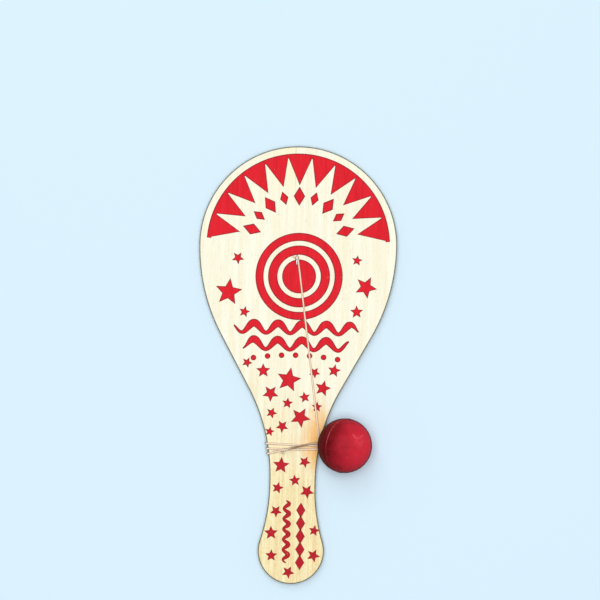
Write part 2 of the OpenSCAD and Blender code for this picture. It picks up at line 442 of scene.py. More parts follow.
def grain_group() -> Tree:
    """Wood grain along Y: broad streaks, fine fibres and short dark flecks.

    Returns:
        The group, whose outputs are the streaks' tone, the flecks' mask and the fibres' relief.
    """
    tree, given, out = new_group(
        "wood_grain", "ShaderNodeTree",
        [("Vector", "NodeSocketVector", None), ("Fibre share", "NodeSocketFloat", 0.45)],
        [("Tone", "NodeSocketFloat"), ("Fleck", "NodeSocketFloat"), ("Relief", "NodeSocketFloat")],
    )
    place = given.outputs["Vector"]
    drift = noise(tree, stretched(tree, place, across=26, along=90), detail=1)
    sway = put(tree, "ShaderNodeCombineXYZ", {0: calc(tree, "MULTIPLY", drift, 5 * MM)}).outputs[0]
    bent = put(tree, "ShaderNodeVectorMath", {0: place, 1: sway}, operation="ADD").outputs[0]
    streak = noise(tree, stretched(tree, bent, across=3.4, along=130), detail=3, roughness=0.6)
    fibre = noise(tree, stretched(tree, bent, across=0.42, along=17), detail=2, roughness=0.65)
    fleck = fit(tree, noise(tree, stretched(tree, bent, across=0.5, along=4.5), detail=1), 0.69, 0.76)
    share = given.outputs["Fibre share"]
    rest = calc(tree, "SUBTRACT", 1.0, share)
    tone = calc(tree, "ADD", calc(tree, "MULTIPLY", fibre, share), calc(tree, "MULTIPLY", streak, rest))
    tree.links.new(fit(tree, tone, 0.34, 0.66), out.inputs["Tone"])
    tree.links.new(fleck, out.inputs["Fleck"])
    tree.links.new(calc(tree, "SUBTRACT", fibre, calc(tree, "MULTIPLY", fleck, 0.6)), out.inputs["Relief"])
    return tree


def dust_group() -> Tree:
    """Pale talc that clings to rubber in soft patches with a powdery edge.

    Returns:
        The group, whose output is the talc's mask.
    """
    tree, given, out = new_group(
        "talc_dust", "ShaderNodeTree",
        [("Vector", "NodeSocketVector", None), ("Patch scale", "NodeSocketFloat", 200.0),
         ("Amount", "NodeSocketFloat", 0.5)],
        [("Mask", "NodeSocketFloat")],
    )
    place, scale = given.outputs["Vector"], given.outputs["Patch scale"]
    patches = noise(tree, place, scale, detail=4, roughness=0.7)
    powder = noise(tree, place, 6000, detail=1)
    mask = calc(tree, "MULTIPLY", fit(tree, patches, 0.42, 0.72), fit(tree, powder, 0.25, 0.7))
    tree.links.new(calc(tree, "MULTIPLY", mask, given.outputs["Amount"], clamp=True), out.inputs["Mask"])
    return tree


def skin_group() -> Tree:
    """The faint pebbled skin of moulded or cut rubber.

    Returns:
        The group, whose outputs are the pebbles' height and a broad uneven tone.
    """
    tree, given, out = new_group(
        "rubber_skin", "ShaderNodeTree",
        [("Vector", "NodeSocketVector", None), ("Pebble scale", "NodeSocketFloat", 1500.0)],
        [("Height", "NodeSocketFloat"), ("Tone", "NodeSocketFloat")],
    )
    place, scale = given.outputs["Vector"], given.outputs["Pebble scale"]
    pebbles = put(tree, "ShaderNodeTexVoronoi", {"Vector": place, "Scale": scale, "Randomness": 1.0},
                  feature="SMOOTH_F1").outputs["Distance"]
    grit = noise(tree, place, scale, detail=3)
    tree.links.new(calc(tree, "ADD", calc(tree, "MULTIPLY", pebbles, 0.5), grit), out.inputs["Height"])
    tree.links.new(noise(tree, place, 110, detail=4, roughness=0.6), out.inputs["Tone"])
    return tree


# ---------------------------------------------------------------------------------------------
# Finishes
# ---------------------------------------------------------------------------------------------


@dataclass(frozen=True)
class WoodFinish:
    """Bare sanded veneer.

    The face grows more honey-coloured towards the handle, and it has a warm patch beside the ball,
    both by the share that warmth gives. The patch is a painted reflection of the ball's warm light
    on the neck. The rim faces take the edge colour; the dark default is painted shade along the
    paddle's outline. Places and lengths are in millimetres.
    """

    name: str
    pale: Rgba = srgb(253, 252, 233)
    dark: Rgba = srgb(248, 240, 210)
    honey: Rgba = srgb(254, 244, 198)
    honey_dark: Rgba = srgb(238, 212, 154)
    # Painted reflection: the colour of the ball's warm light on the neck.
    painted_reflection_orange: Rgba = srgb(250, 182, 82)
    fleck: Rgba = srgb(188, 140, 84)
    fleck_share: float = 0.28
    glue: Rgba = srgb(196, 186, 142)
    # The default edge colour is painted shade, the dark outline at the paddle's edge.
    edge: Rgba = srgb(68, 68, 55)
    warmth: float = 1.0
    honey_ys: tuple[float, float] = (8.0, -88.0)
    honey_drift: float = 60.0
    painted_reflection_at: tuple[float, float] = (15.0, -48.0)
    painted_reflection_reach: tuple[float, float] = (12.0, 24.0)
    painted_reflection_share: float = 0.85
    fibre_share: float = 0.45
    mottle: tuple[float, float] = (0.6, 1.4)
    joint_x: float | None = None
    joint_ys: tuple[float, float] = (104.0, 126.0)
    joint_shadow: tuple[float, float] = (-24.0, -8.0)
    relief: float = 0.06
    turned: bool = False
    roughness: float = 0.62

    def material(self, grain: Tree) -> Material:
        """The veneer's material.

        Args:
            grain: The shared grain group.

        Returns:
            The material.
        """
        material, tree, shader, place = new_material(self.name)
        if self.turned:
            turn = {"Vector": place, "Rotation": (0.0, 0.0, math.pi / 2)}
            place = put(tree, "ShaderNodeMapping", turn).outputs[0]
        wood = use_group(tree, grain, {"Vector": place, "Fibre share": self.fibre_share})
        axes = list(put(tree, "ShaderNodeSeparateXYZ", {0: place}).outputs)
        cloud = noise(tree, place, 55, detail=3, roughness=0.6)
        drift = calc(tree, "MULTIPLY_ADD", calc(tree, "SUBTRACT", cloud, 0.5), self.honey_drift * MM, axes[1])
        share = fit(tree, drift, self.honey_ys[0] * MM, self.honey_ys[1] * MM, 0.0, self.warmth)
        speck = noise(tree, stretched(tree, place, across=0.95, along=1.5), detail=2, roughness=0.6)
        depth = fit(tree, share, 0.0, 1.0, *self.mottle)
        tone = calc(tree, "MULTIPLY_ADD", calc(tree, "SUBTRACT", speck, 0.5), depth, wood.outputs["Tone"],
                    clamp=True)
        plain = blend_colours(tree, tone, self.dark, self.pale)
        warm = blend_colours(tree, tone, self.honey_dark, self.honey)
        colour = blend_colours(tree, share, plain, warm)
        if self.joint_x is not None:
            colour = self.joint(tree, axes, cloud, colour)
        # Painted reflection: a warm patch beside the ball stands for the light it throws on the neck.
        colour = blend_colours(tree, self.painted_reflection(tree, axes, cloud, tone), colour, self.painted_reflection_orange)
        flecks = calc(tree, "MULTIPLY", wood.outputs["Fleck"], self.fleck_share)
        colour = blend_colours(tree, flecks, colour, self.fleck)
        # Painted shade: the rim faces darken towards the edge colour, which on the face and back stands for the
        # shadow at the paddle's edge; the core's edge colour is its own end grain.
        sawn = noise(tree, stretched(tree, place, across=0.5, along=0.5), detail=3)
        mark_mask = calc(tree, "MULTIPLY", painted(tree, "rim"), fit(tree, sawn, 0.25, 0.75, 0.7, 1.0))
        colour = blend_colours(tree, mark_mask, colour, self.edge)
        tree.links.new(colour, shader.inputs["Base Color"])
        gloss = calc(tree, "MULTIPLY_ADD", tone, -0.10, self.roughness + 0.05)
        tree.links.new(gloss, shader.inputs["Roughness"])
        tree.links.new(bump(tree, wood.outputs["Relief"], self.relief), shader.inputs["Normal"])
        shader.inputs["Specular IOR Level"].default_value = 0.2
        return material

    def joint(self, tree: Tree, axes: list[Socket], cloud: Socket, colour: Socket) -> Socket:
        """The colour with the faint line where two strips of veneer meet near the blade's top.

        Args:
            tree: The material's tree.
            axes: The three coordinates' sockets.
            cloud: A broad noise.
            colour: The veneer's colour without the joint.

        Returns:
            The colour's socket.
        """
        apart = calc(tree, "SUBTRACT", axes[0], self.joint_x * MM)
        fade = fit(tree, axes[1], self.joint_ys[0] * MM, self.joint_ys[1] * MM)
        left = calc(tree, "MULTIPLY", fit(tree, apart, 0.3 * MM, -0.3 * MM), fade)
        far, near = self.joint_shadow
        left = calc(tree, "MULTIPLY", left, fit(tree, apart, far * MM, near * MM, 0.0, 0.5))
        colour = blend_colours(tree, left, colour, self.honey)
        line = fit(tree, calc(tree, "ABSOLUTE", apart), 0.42 * MM, 0.12 * MM)
        line = calc(tree, "MULTIPLY", line, fit(tree, cloud, 0.3, 0.6, 0.25, 0.5))
        return blend_colours(tree, calc(tree, "MULTIPLY", line, fade), colour, self.glue)

    def painted_reflection(self, tree: Tree, axes: list[Socket], cloud: Socket, tone: Socket) -> Socket:
        """The mask of the painted reflection of the ball's warm light at the neck's right edge.

        Args:
            tree: The material's tree.
            axes: The three coordinates' sockets.
            cloud: A broad noise.
            tone: The grain's tone.

        Returns:
            The mask's socket.
        """
        reach = spot(tree, axes, self.painted_reflection_at, self.painted_reflection_reach)
        reach = calc(tree, "MULTIPLY_ADD", calc(tree, "SUBTRACT", cloud, 0.5), 1.4, reach)
        mask = fit(tree, reach, 1.3, 0.2, 0.0, self.painted_reflection_share * self.warmth)
        return calc(tree, "MULTIPLY", mask, calc(tree, "MULTIPLY_ADD", tone, -0.3, 1.0), clamp=True)


@dataclass(frozen=True)
class InkFinish:
    """Flat screen ink, through which the grain shows a little. It is duller towards the handle."""

    name: str = "red_ink"
    colour: Rgba = srgb(232, 8, 34)
    thin: Rgba = srgb(212, 8, 30)
    dull: Rgba = srgb(168, 14, 30)
    bare_and_painted_shade: Rgba = srgb(246, 214, 178)
    dull_ys: tuple[float, float] = (40.0, -110.0)
    dull_share: float = 0.75
    fibre_share: float = 0.7
    relief: float = 0.03
    roughness: float = 0.42

    def material(self, grain: Tree) -> Material:
        """The ink's material.

        Args:
            grain: The shared grain group.

        Returns:
            The material.
        """
        material, tree, shader, place = new_material(self.name)
        wood = use_group(tree, grain, {"Vector": place, "Fibre share": self.fibre_share})
        colour = blend_colours(tree, wood.outputs["Tone"], self.thin, self.colour)
        north = put(tree, "ShaderNodeSeparateXYZ", {0: place}).outputs[1]
        dulled = fit(tree, north, self.dull_ys[0] * MM, self.dull_ys[1] * MM, 0.0, self.dull_share)
        colour = blend_colours(tree, dulled, colour, self.dull)
        pinholes = noise(tree, stretched(tree, place, across=0.35, along=1.4), detail=2)
        pinholes = fit(tree, pinholes, 0.72, 0.8, 0.0, 0.6)
        colour = blend_colours(tree, pinholes, colour, self.bare_and_painted_shade)
        tree.links.new(colour, shader.inputs["Base Color"])
        gloss = calc(tree, "MULTIPLY_ADD", wood.outputs["Tone"], -0.08, self.roughness + 0.04)
        tree.links.new(gloss, shader.inputs["Roughness"])
        tree.links.new(bump(tree, wood.outputs["Relief"], self.relief), shader.inputs["Normal"])
        shader.inputs["Specular IOR Level"].default_value = 0.08
        return material


@dataclass(frozen=True)
class WireFinish:
    """Bright galvanised wire with drawing marks along it."""

    name: str = "staple_wire"
    bright: Rgba = srgb(196, 199, 204)
    dull: Rgba = srgb(150, 154, 160)
    relief: float = 0.02
    roughness: float = 0.3

    def material(self) -> Material:
        """The wire's material.

        Returns:
            The material.
        """
        material, tree, shader, place = new_material(self.name)
        marks = noise(tree, stretched(tree, place, across=0.08, along=2.2), detail=2)
        bloom = noise(tree, place, 1400, detail=3, roughness=0.6)
        colour = blend_colours(tree, fit(tree, bloom, 0.4, 0.7), self.bright, self.dull)
        tree.links.new(colour, shader.inputs["Base Color"])
        tree.links.new(calc(tree, "MULTIPLY_ADD", bloom, 0.3, self.roughness - 0.1), shader.inputs["Roughness"])
        tree.links.new(bump(tree, marks, self.relief), shader.inputs["Normal"])
        shader.inputs["Metallic"].default_value = 1.0
        return material


@dataclass(frozen=True)
class ThreadFinish:
    """Natural rubber thread: tan, cut with fine lines along it, talc-dusted and with painted shade."""

    name: str = "elastic_rubber"
    tan: Rgba = srgb(255, 234, 210)
    amber: Rgba = srgb(242, 204, 168)
    talc: Rgba = srgb(255, 248, 236)
    # Painted shade on the crossing turn and the lead.
    bare_and_painted_shade: Rgba = srgb(132, 92, 54)
    # Painted shade on the strand's sides.
    painted_edge_shade: Rgba = srgb(92, 62, 34)
    line_scale: tuple[float, float] = (90.0, 9.0)
    pebble_scale: float = 3500.0
    patch_scale: float = 320.0
    talc_amount: float = 0.85
    relief: float = 0.05
    roughness: float = 0.5

    def material(self, dust: Tree, skin: Tree) -> Material:
        """The thread's material.

        Args:
            dust: The shared talc group.
            skin: The shared rubber skin group.

        Returns:
            The material.
        """
        material, tree, shader, place = new_material(self.name)
        lines = put(tree, "ShaderNodeCombineXYZ", {
            0: calc(tree, "MULTIPLY", painted(tree, "along"), self.line_scale[0]),
            1: calc(tree, "MULTIPLY", painted(tree, "around"), self.line_scale[1])}).outputs[0]
        line_tone = noise(tree, lines, detail=3, roughness=0.6)
        rubber = use_group(tree, skin, {"Vector": place, "Pebble scale": self.pebble_scale})
        talc = use_group(tree, dust, {
            "Vector": place, "Patch scale": self.patch_scale, "Amount": self.talc_amount})
        colour = blend_colours(tree, fit(tree, line_tone, 0.3, 0.7), self.amber, self.tan)
        colour = blend_colours(tree, talc.outputs["Mask"], colour, self.talc)
        # Painted shade: the crossing turn and the lead darken towards a dark rubber colour.
        rubbed = calc(tree, "MULTIPLY", painted(tree, "rubbed"), fit(tree, line_tone, 0.35, 0.6, 0.75, 0.95))
        colour = blend_colours(tree, rubbed, colour, self.bare_and_painted_shade)
        # Painted shade: the strand's sides darken as they turn away from the view.
        facing = put(tree, "ShaderNodeLayerWeight", {"Blend": 0.5}).outputs["Facing"]
        colour = blend_colours(tree, fit(tree, facing, 0.15, 0.66, 0.0, 0.95), colour, self.painted_edge_shade)
        tree.links.new(colour, shader.inputs["Base Color"])
        gloss = calc(tree, "MULTIPLY_ADD", talc.outputs["Mask"], 0.3, self.roughness)
        tree.links.new(gloss, shader.inputs["Roughness"])
        height = calc(tree, "ADD", line_tone, calc(tree, "MULTIPLY", rubber.outputs["Height"], 0.35))
        tree.links.new(bump(tree, height, self.relief), shader.inputs["Normal"])
        return material


@dataclass(frozen=True)
class BallFinish:
    """Moulded red rubber with a trace of talc, faint scratches and painted light and shade.

    Its colour is painted darker to its left and brighter to its right, as shade and light, and dark
    at its rim as painted shade. Pale marks on its upper right and along the seam's crest are painted
    highlights. Places are counted from the ball's middle and are in millimetres, as the lengths are.
    """

    middle: Vector
    radius: float
    name: str = "ball_rubber"
    # The lit and the shaded red of painted light and shade.
    red: Rgba = srgb(246, 52, 72)
    painted_shade_red: Rgba = srgb(84, 3, 7)
    # The rim's painted shade.
    painted_limb_shade: Rgba = srgb(34, 0, 12)
    bloom: Rgba = srgb(222, 96, 106)
    # The painted highlight along the seam's crest.
    crest: Rgba = srgb(240, 128, 126)
    # Where the painted highlights lie: a pale arc and a pale patch below it.
    highlight_arc_at: tuple[float, float] = (8.0, 8.4)
    highlight_arc_zs: tuple[float, float] = (6.5, 8.5)
    highlight_arc_r: float = 3.0
    highlight_and_scratch_share: float = 0.8
    highlight_patch_at: tuple[float, float, float] = (9.7, 2.5, 13.5)
    highlight_patch_reach: float = 6.5
    pebble_scale: float = 1300.0
    patch_scale: float = 130.0
    talc_amount: float = 0.06
    relief: float = 0.06
    roughness: float = 0.52

    def material(self, dust: Tree, skin: Tree) -> Material:
        """The ball's material.

        Args:
            dust: The shared talc group.
            skin: The shared rubber skin group.

        Returns:
            The material.
        """
        material, tree, shader, place = new_material(self.name)
        rubber = use_group(tree, skin, {"Vector": place, "Pebble scale": self.pebble_scale})
        talc = use_group(tree, dust, {
            "Vector": place, "Patch scale": self.patch_scale, "Amount": self.talc_amount})
        offset = {0: place, 1: tuple(self.middle * MM)}
        local = put(tree, "ShaderNodeVectorMath", offset, operation="SUBTRACT").outputs[0]
        axes = list(put(tree, "ShaderNodeSeparateXYZ", {0: local}).outputs)
        radius = self.radius * MM
        cloud = calc(tree, "SUBTRACT", rubber.outputs["Tone"], 0.5)
        # Painted light and shade: the colour runs from the shaded red on the left to the lit red on the right.
        side = calc(tree, "MULTIPLY_ADD", cloud, 0.9 * radius, axes[0])
        colour = blend_colours(tree, fit(tree, side, -radius, 1.2 * radius), self.painted_shade_red, self.red)
        colour = blend_colours(tree, talc.outputs["Mask"], colour, self.bloom)
        # Painted highlight: a pale arc and patch on the ball's upper right, in the talc colour, with faint
        # scratches.
        highlight_and_scratch = self.highlights_and_scratches(tree, place, local, axes)
        colour = blend_colours(tree, calc(tree, "MULTIPLY", highlight_and_scratch, self.highlight_and_scratch_share), colour, self.bloom)
        # Painted highlight: a pale line along the seam's crest, stronger towards +Y.
        crest = fit(tree, noise(tree, place, 420), 0.3, 0.6, 0.6, 1.0)
        rubbed = calc(tree, "MULTIPLY", painted(tree, "seam"), crest)
        rubbed = calc(tree, "MULTIPLY", rubbed, fit(tree, axes[1], -2 * MM, 9 * MM, 0.16, 0.9))
        colour = blend_colours(tree, rubbed, colour, self.crest)
        # Painted shade: the ball darkens at its rim, where it faces away from the view.
        facing = put(tree, "ShaderNodeLayerWeight", {"Blend": 0.5}).outputs["Facing"]
        colour = blend_colours(tree, fit(tree, facing, 0.62, 0.84, 0.0, 0.95), colour, self.painted_limb_shade)
        tree.links.new(colour, shader.inputs["Base Color"])
        mark_mask = calc(tree, "MAXIMUM", highlight_and_scratch, talc.outputs["Mask"])
        tree.links.new(calc(tree, "MULTIPLY_ADD", mark_mask, 0.3, self.roughness), shader.inputs["Roughness"])
        height = calc(tree, "ADD", rubber.outputs["Height"], calc(tree, "MULTIPLY", highlight_and_scratch, -1.4))
        tree.links.new(bump(tree, height, self.relief), shader.inputs["Normal"])
        shader.inputs["Specular IOR Level"].default_value = 0.04
        return material

    def highlights_and_scratches(self, tree: Tree, place: Socket, local: Socket, axes: list[Socket]) -> Socket:
        """The mask of painted highlights, a curved pale arc and a pale patch below it, and of a few
        faint scratches elsewhere.

        Args:
            tree: The material's tree.
            place: The Object coordinates' socket.
            local: The place from the ball's middle.
            axes: The three sockets of that place.

        Returns:
            The mask's socket.
        """
        reach = spot(tree, axes, self.highlight_arc_at, (1.0, 1.0))
        waver = calc(tree, "MULTIPLY", calc(tree, "SUBTRACT", noise(tree, place, 500), 0.5), 1.2)
        apart = calc(tree, "ABSOLUTE", calc(tree, "ADD", calc(tree, "SUBTRACT", reach, self.highlight_arc_r), waver))
        along = calc(tree, "SUBTRACT", axes[1], self.highlight_arc_at[1] * MM)
        arc = calc(tree, "MULTIPLY", fit(tree, apart, 0.75, 0.2, 0.0, 0.85), fit(tree, along, 0.2 * MM, -1.0 * MM))
        arc = calc(tree, "MULTIPLY", arc, fit(tree, noise(tree, place, 700), 0.35, 0.6, 0.4, 1.0))
        arc = calc(tree, "MULTIPLY", arc, fit(tree, axes[2], self.highlight_arc_zs[0] * MM, self.highlight_arc_zs[1] * MM))
        rub = {0: local, 1: tuple(Vector(self.highlight_patch_at) * MM)}
        near = put(tree, "ShaderNodeVectorMath", rub, operation="DISTANCE").outputs["Value"]
        patch = fit(tree, near, self.highlight_patch_reach * MM, 0.2 * self.highlight_patch_reach * MM)
        mark_mask = noise(tree, place, 380, detail=3, roughness=0.6)
        patch = calc(tree, "MULTIPLY", patch, fit(tree, mark_mask, 0.4, 0.65, 0.0, 0.38))
        far_cells = noise(tree, place, 150, detail=3, roughness=0.55, distortion=2.0)
        far_ridge = calc(tree, "ABSOLUTE", calc(tree, "SUBTRACT", far_cells, 0.56))
        far_lines = fit(tree, far_ridge, 0.006, 0.001, 0.0, 0.3)
        return calc(tree, "MAXIMUM", calc(tree, "MAXIMUM", arc, patch), far_lines)


# ---------------------------------------------------------------------------------------------
# The paddle
# ---------------------------------------------------------------------------------------------


@dataclass(frozen=True)
class PaddleShape:
    """The paddle's named sizes, and the outline and heights that follow from them."""

    blade_w: float = 127.0
    paddle_l: float = 281.0
    flank_r: float = 121.0
    taper_deg: float = 28.8
    neck_r: float = 120.0
    handle_w: float = 29.6
    grip_r: float = 120.0
    bulb_d: float = 42.4
    skin_t: float = 1.2
    core_t: float = 2.4
    back_z: float = 1.35

    @property
    def core_z(self) -> float:
        """Height of the core's back."""
        return self.back_z + self.skin_t

    @property
    def skin_z(self) -> float:
        """Height of the face ply's back."""
        return self.core_z + self.core_t

    @property
    def face_z(self) -> float:
        """Height of the printed face."""
        return self.skin_z + self.skin_t

    @property
    def end_y(self) -> float:
        """The handle's end."""
        return -self.paddle_l / 2

    @property
    def head_y(self) -> float:
        """The middle of the blade's half circle."""
        return self.paddle_l / 2 - self.blade_w / 2

    @property
    def taper(self) -> float:
        """The straight flanks' slant, in radians."""
        return math.radians(self.taper_deg)

    @property
    def taper_top(self) -> Vector:
        """Where the right flank becomes straight."""
        reach = self.blade_w / 2 - self.flank_r + self.flank_r * math.cos(self.taper)
        return Vector((reach, self.head_y - self.flank_r * math.sin(self.taper)))

    @property
    def taper_end(self) -> Vector:
        """Where the right flank stops being straight."""
        x = self.handle_w / 2 + self.neck_r * (1 - math.cos(self.taper))
        return Vector((x, self.taper_top.y - (self.taper_top.x - x) / math.tan(self.taper)))

    @property
    def neck_y(self) -> float:
        """Where the hollow neck has its least width."""
        return self.taper_end.y - self.neck_r * math.sin(self.taper)

    @property
    def bulb_y(self) -> float:
        """The middle of the handle's round end."""
        return self.end_y + self.bulb_d / 2

    @property
    def grip_y(self) -> float:
        """Where the hollow above the round end starts."""
        reach = self.grip_r + self.bulb_d / 2
        return self.bulb_y + math.sqrt(reach**2 - (self.handle_w / 2 + self.grip_r) ** 2)

    def neck_half_w(self, y: float) -> float:
        """Half the width of the paddle between the handle's narrowest place and the flank.

        Args:
            y: The place along the paddle.

        Returns:
            The half width there.
        """
        if y > self.taper_end.y:
            return self.taper_end.x + (y - self.taper_end.y) * math.tan(self.taper)
        if y > self.neck_y:
            return self.handle_w / 2 + self.neck_r - math.sqrt(self.neck_r**2 - (y - self.neck_y) ** 2)
        return self.handle_w / 2

    @staticmethod
    def arc(middle: tuple[float, float], radius: float, start: float, end: float, step: float,
            sign: float = 1.0) -> Rim:
        """Places along an arc, without its last one.

        Args:
            middle: The arc's middle.
            radius: Its radius.
            start: Where it starts, in radians.
            end: Where it ends, in radians.
            step: About how far apart the places are.
            sign: -1 where the wood lies outside the circle.

        Returns:
            Pairs of a place and its outward direction.
        """
        count = max(3, round(abs(end - start) * radius / step))
        turns = [start + (end - start) * i / count for i in range(count)]
        ways = [Vector((math.cos(a), math.sin(a))) for a in turns]
        return [(Vector(middle) + way * radius, way * sign) for way in ways]

    @staticmethod
    def straight(first: Vector, last: Vector, step: float) -> Rim:
        """Places along a straight stretch of the right side, without its last one.

        Args:
            first: Where it starts.
            last: Where it ends.
            step: About how far apart the places are.

        Returns:
            Pairs of a place and its outward direction.
        """
        way = (last - first).normalized()
        count = max(1, round((last - first).length / step))
        return [(first + (last - first) * i / count, Vector((-way.y, way.x))) for i in range(count)]

    def half_outline(self, step: float) -> Rim:
        """Places from the top of the blade down its right side to the handle's end.

        Args:
            step: About how far apart the places are.

        Returns:
            Pairs of a place and its outward direction.
        """
        half_w = self.handle_w / 2
        grip_turn = math.atan2(self.grip_y - self.bulb_y, half_w + self.grip_r)
        return [
            *self.arc((0, self.head_y), self.blade_w / 2, math.pi / 2, 0, step),
            *self.arc((self.blade_w / 2 - self.flank_r, self.head_y), self.flank_r, 0, -self.taper, step),
            *self.straight(self.taper_top, self.taper_end, step),
            *self.arc((half_w + self.neck_r, self.neck_y), self.neck_r, math.pi - self.taper, math.pi, step, -1),
            *self.straight(Vector((half_w, self.neck_y)), Vector((half_w, self.grip_y)), step),
            *self.arc((half_w + self.grip_r, self.grip_y), self.grip_r, math.pi, math.pi + grip_turn, step, -1),
            *self.arc((0, self.bulb_y), self.bulb_d / 2, grip_turn, -math.pi / 2, step),
            (Vector((0, self.end_y)), Vector((0, -1))),
        ]

    def outline(self, step: float = 1.0) -> Rim:
        """The whole outline, clockwise from the top of the blade.

        Args:
            step: About how far apart the places are.

        Returns:
            Pairs of a place and its outward direction.
        """
        right = self.half_outline(step)
        left = [(Vector((-p.x, p.y)), Vector((-n.x, n.y))) for p, n in reversed(right[1:-1])]
        return right + left


@dataclass(frozen=True)
class Ply:
    """One layer of the paddle.

    After its names and heights come the roundings of its two edges, how far it stays inside the
    outline, how ragged the saw left it, the floor of the staple's leg holes, if it has any, and how
    dark its side is, from 0 to 1.
    """

    node: str
    slot: str
    bottom: float
    thickness: float
    ease_top: float
    ease_bottom: float
    inset: float
    fray: float
    seed: float
    hole_floor: float | None
    side_rim: float

    @property
    def top(self) -> float:
        """Height of the ply's upper side."""
        return self.bottom + self.thickness


@dataclass
class PaddleBoard:
    """The three plies, cut in one outline, with sanded rims and a slightly ragged sawn edge."""

    shape: PaddleShape
    hole_d: float = 0.9
    hole_x: float = -0.6
    hole_ys: tuple[float, float] = (70.5, 64.3)
    hole_sides: int = 20
    core_hole_z: float = 2.9
    ease_steps: int = 4
    ease_rim: float = 0.85
    ease_rim_step: float = 0.3

    def plies(self) -> list[Ply]:
        """The face, the core and the back.

        Returns:
            The layers, from the top down.
        """
        s = self.shape
        return [
            Ply("face_ply", "face_veneer", s.skin_z, s.skin_t, ease_top=0.7, ease_bottom=0.03, inset=0.0,
                fray=0.035, seed=3.0, hole_floor=s.skin_z, side_rim=0.4),
            Ply("core_ply", "core_veneer", s.core_z, s.core_t, ease_top=0.05, ease_bottom=0.05, inset=0.05,
                fray=0.06, seed=11.0, hole_floor=self.core_hole_z, side_rim=1.0),
            Ply("back_ply", "back_veneer", s.back_z, s.skin_t, ease_top=0.03, ease_bottom=0.6, inset=0.0,
                fray=0.035, seed=19.0, hole_floor=None, side_rim=0.45),
        ]

    def rim_profile(self, ply: Ply) -> list[tuple[float, float]]:
        """The section of a ply's edge.

        Args:
            ply: The layer.

        Returns:
            Inset and height of each ring of the edge, from the top down.
        """
        quarter = [math.pi / 2 * i / self.ease_steps for i in range(self.ease_steps + 1)]
        upper = [(ply.ease_top * (1 - math.sin(a)), ply.top - ply.ease_top * (1 - math.cos(a))) for a in quarter]
        lower = [(ply.ease_bottom * (1 - math.cos(a)), ply.bottom + ply.ease_bottom * (1 - math.sin(a)))
                 for a in quarter]
        side = ply.thickness - ply.ease_top - ply.ease_bottom
        middle = [(0.0, ply.top - ply.ease_top - side * k / 3) for k in (1, 2)]
        return upper + middle + lower

    @staticmethod
    def ring(work: Work, ply: Ply, outline: Rim, inset: float, z: float) -> Ring:
        """One ring of a ply's edge, a little ragged where the saw went.

        Args:
            work: The ply's bmesh.
            ply: The layer.
            outline: The paddle's outline.
            inset: How far the ring lies inside the outline.
            z: Its height.

        Returns:
            The ring's vertices, in the outline's order.
        """
        made = []
        for point, way in outline:
            rough = soft_noise(Vector((point.x * 0.9, point.y * 0.9, z * 2.4 + ply.seed)))
            fine = soft_noise(Vector((point.x * 3.1, point.y * 3.1, z * 7.0 + ply.seed)))
            depth = inset + ply.inset + ply.fray * max(0.0, 0.5 + rough + 0.6 * fine)
            place = point - way * depth
            made.append(work.verts.new((place.x * MM, place.y * MM, z * MM)))
        return made

    def mesh(self, ply: Ply) -> Mesh:
        """One ply as a closed solid.

        Args:
            ply: The layer.

        Returns:
            The mesh, whose edge faces carry the attribute rim.
        """
        work = bmesh.new()
        rim_mark = work.faces.layers.float.new("rim")
        outline = self.shape.outline()
        rings = [self.ring(work, ply, outline, inset, z) for inset, z in self.rim_profile(ply)]
        # The rim share sets how much edge colour a face takes; on the face and back that is painted shade.
        for level, (upper, lower) in enumerate(zip(rings, rings[1:])):
            eased = min(1.0, self.ease_rim + self.ease_rim_step * level)
            for face in band(work, upper, lower):
                face.smooth = True
                face[rim_mark] = eased if level < self.ease_steps else ply.side_rim
        wells = self.holes(work, ply)
        self.cap(work, rings[0], [well[0] for well in wells])
        self.cap(work, rings[-1], [well[-1] for well in wells if ply.hole_floor == ply.bottom])
        return mesh_from(ply.node + "_wood", work)

    def holes(self, work: Work, ply: Ply) -> list[list[Ring]]:
        """The walls of the staple's leg holes.

        Args:
            work: The ply's bmesh.
            ply: The layer.

        Returns:
            The upper and the lower ring of each hole.
        """
        if ply.hole_floor is None:
            return []
        wells = []
        radius = self.hole_d / 2
        turns = [FULL_TURN * k / self.hole_sides for k in range(self.hole_sides)]
        for y in self.hole_ys:
            circle = [(self.hole_x + radius * math.cos(a), y + radius * math.sin(a)) for a in turns]
            upper, lower = [[work.verts.new((at_x * MM, at_y * MM, z * MM)) for at_x, at_y in circle]
                            for z in (ply.top, ply.hole_floor)]
            band(work, upper, lower)
            if ply.hole_floor > ply.bottom:
                work.faces.new(lower)
            wells.append([upper, lower])
        return wells

    @staticmethod
    def cap(work: Work, outer: Ring, holes: list[Ring]) -> None:
        """Closes a ring with flat faces, round any holes in it.

        Args:
            work: The ply's bmesh.
            outer: The ring.
            holes: The rings that stay open inside it.
        """
        loops = [outer, *holes]
        verts = [vert for loop in loops for vert in loop]
        for triangle in tessellate_polygon([[vert.co for vert in loop] for loop in loops]):
            work.faces.new([verts[i] for i in triangle])

    def build(self, finishes: dict[str, Material]) -> list[Piece]:
        """Makes the three plies and puts them on the paddle.

        Args:
            finishes: The material of each CAD node.

        Returns:
            The pieces.
        """
        pieces = []
        for ply in self.plies():
            piece = object_of(ply.node + "_wood", self.mesh(ply))
            piece.data.materials.append(finishes[ply.node])
            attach(piece, "paddle")
            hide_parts(ply.node)
            pieces.append(piece)
        return pieces


# ---------------------------------------------------------------------------------------------
# The print
# ---------------------------------------------------------------------------------------------


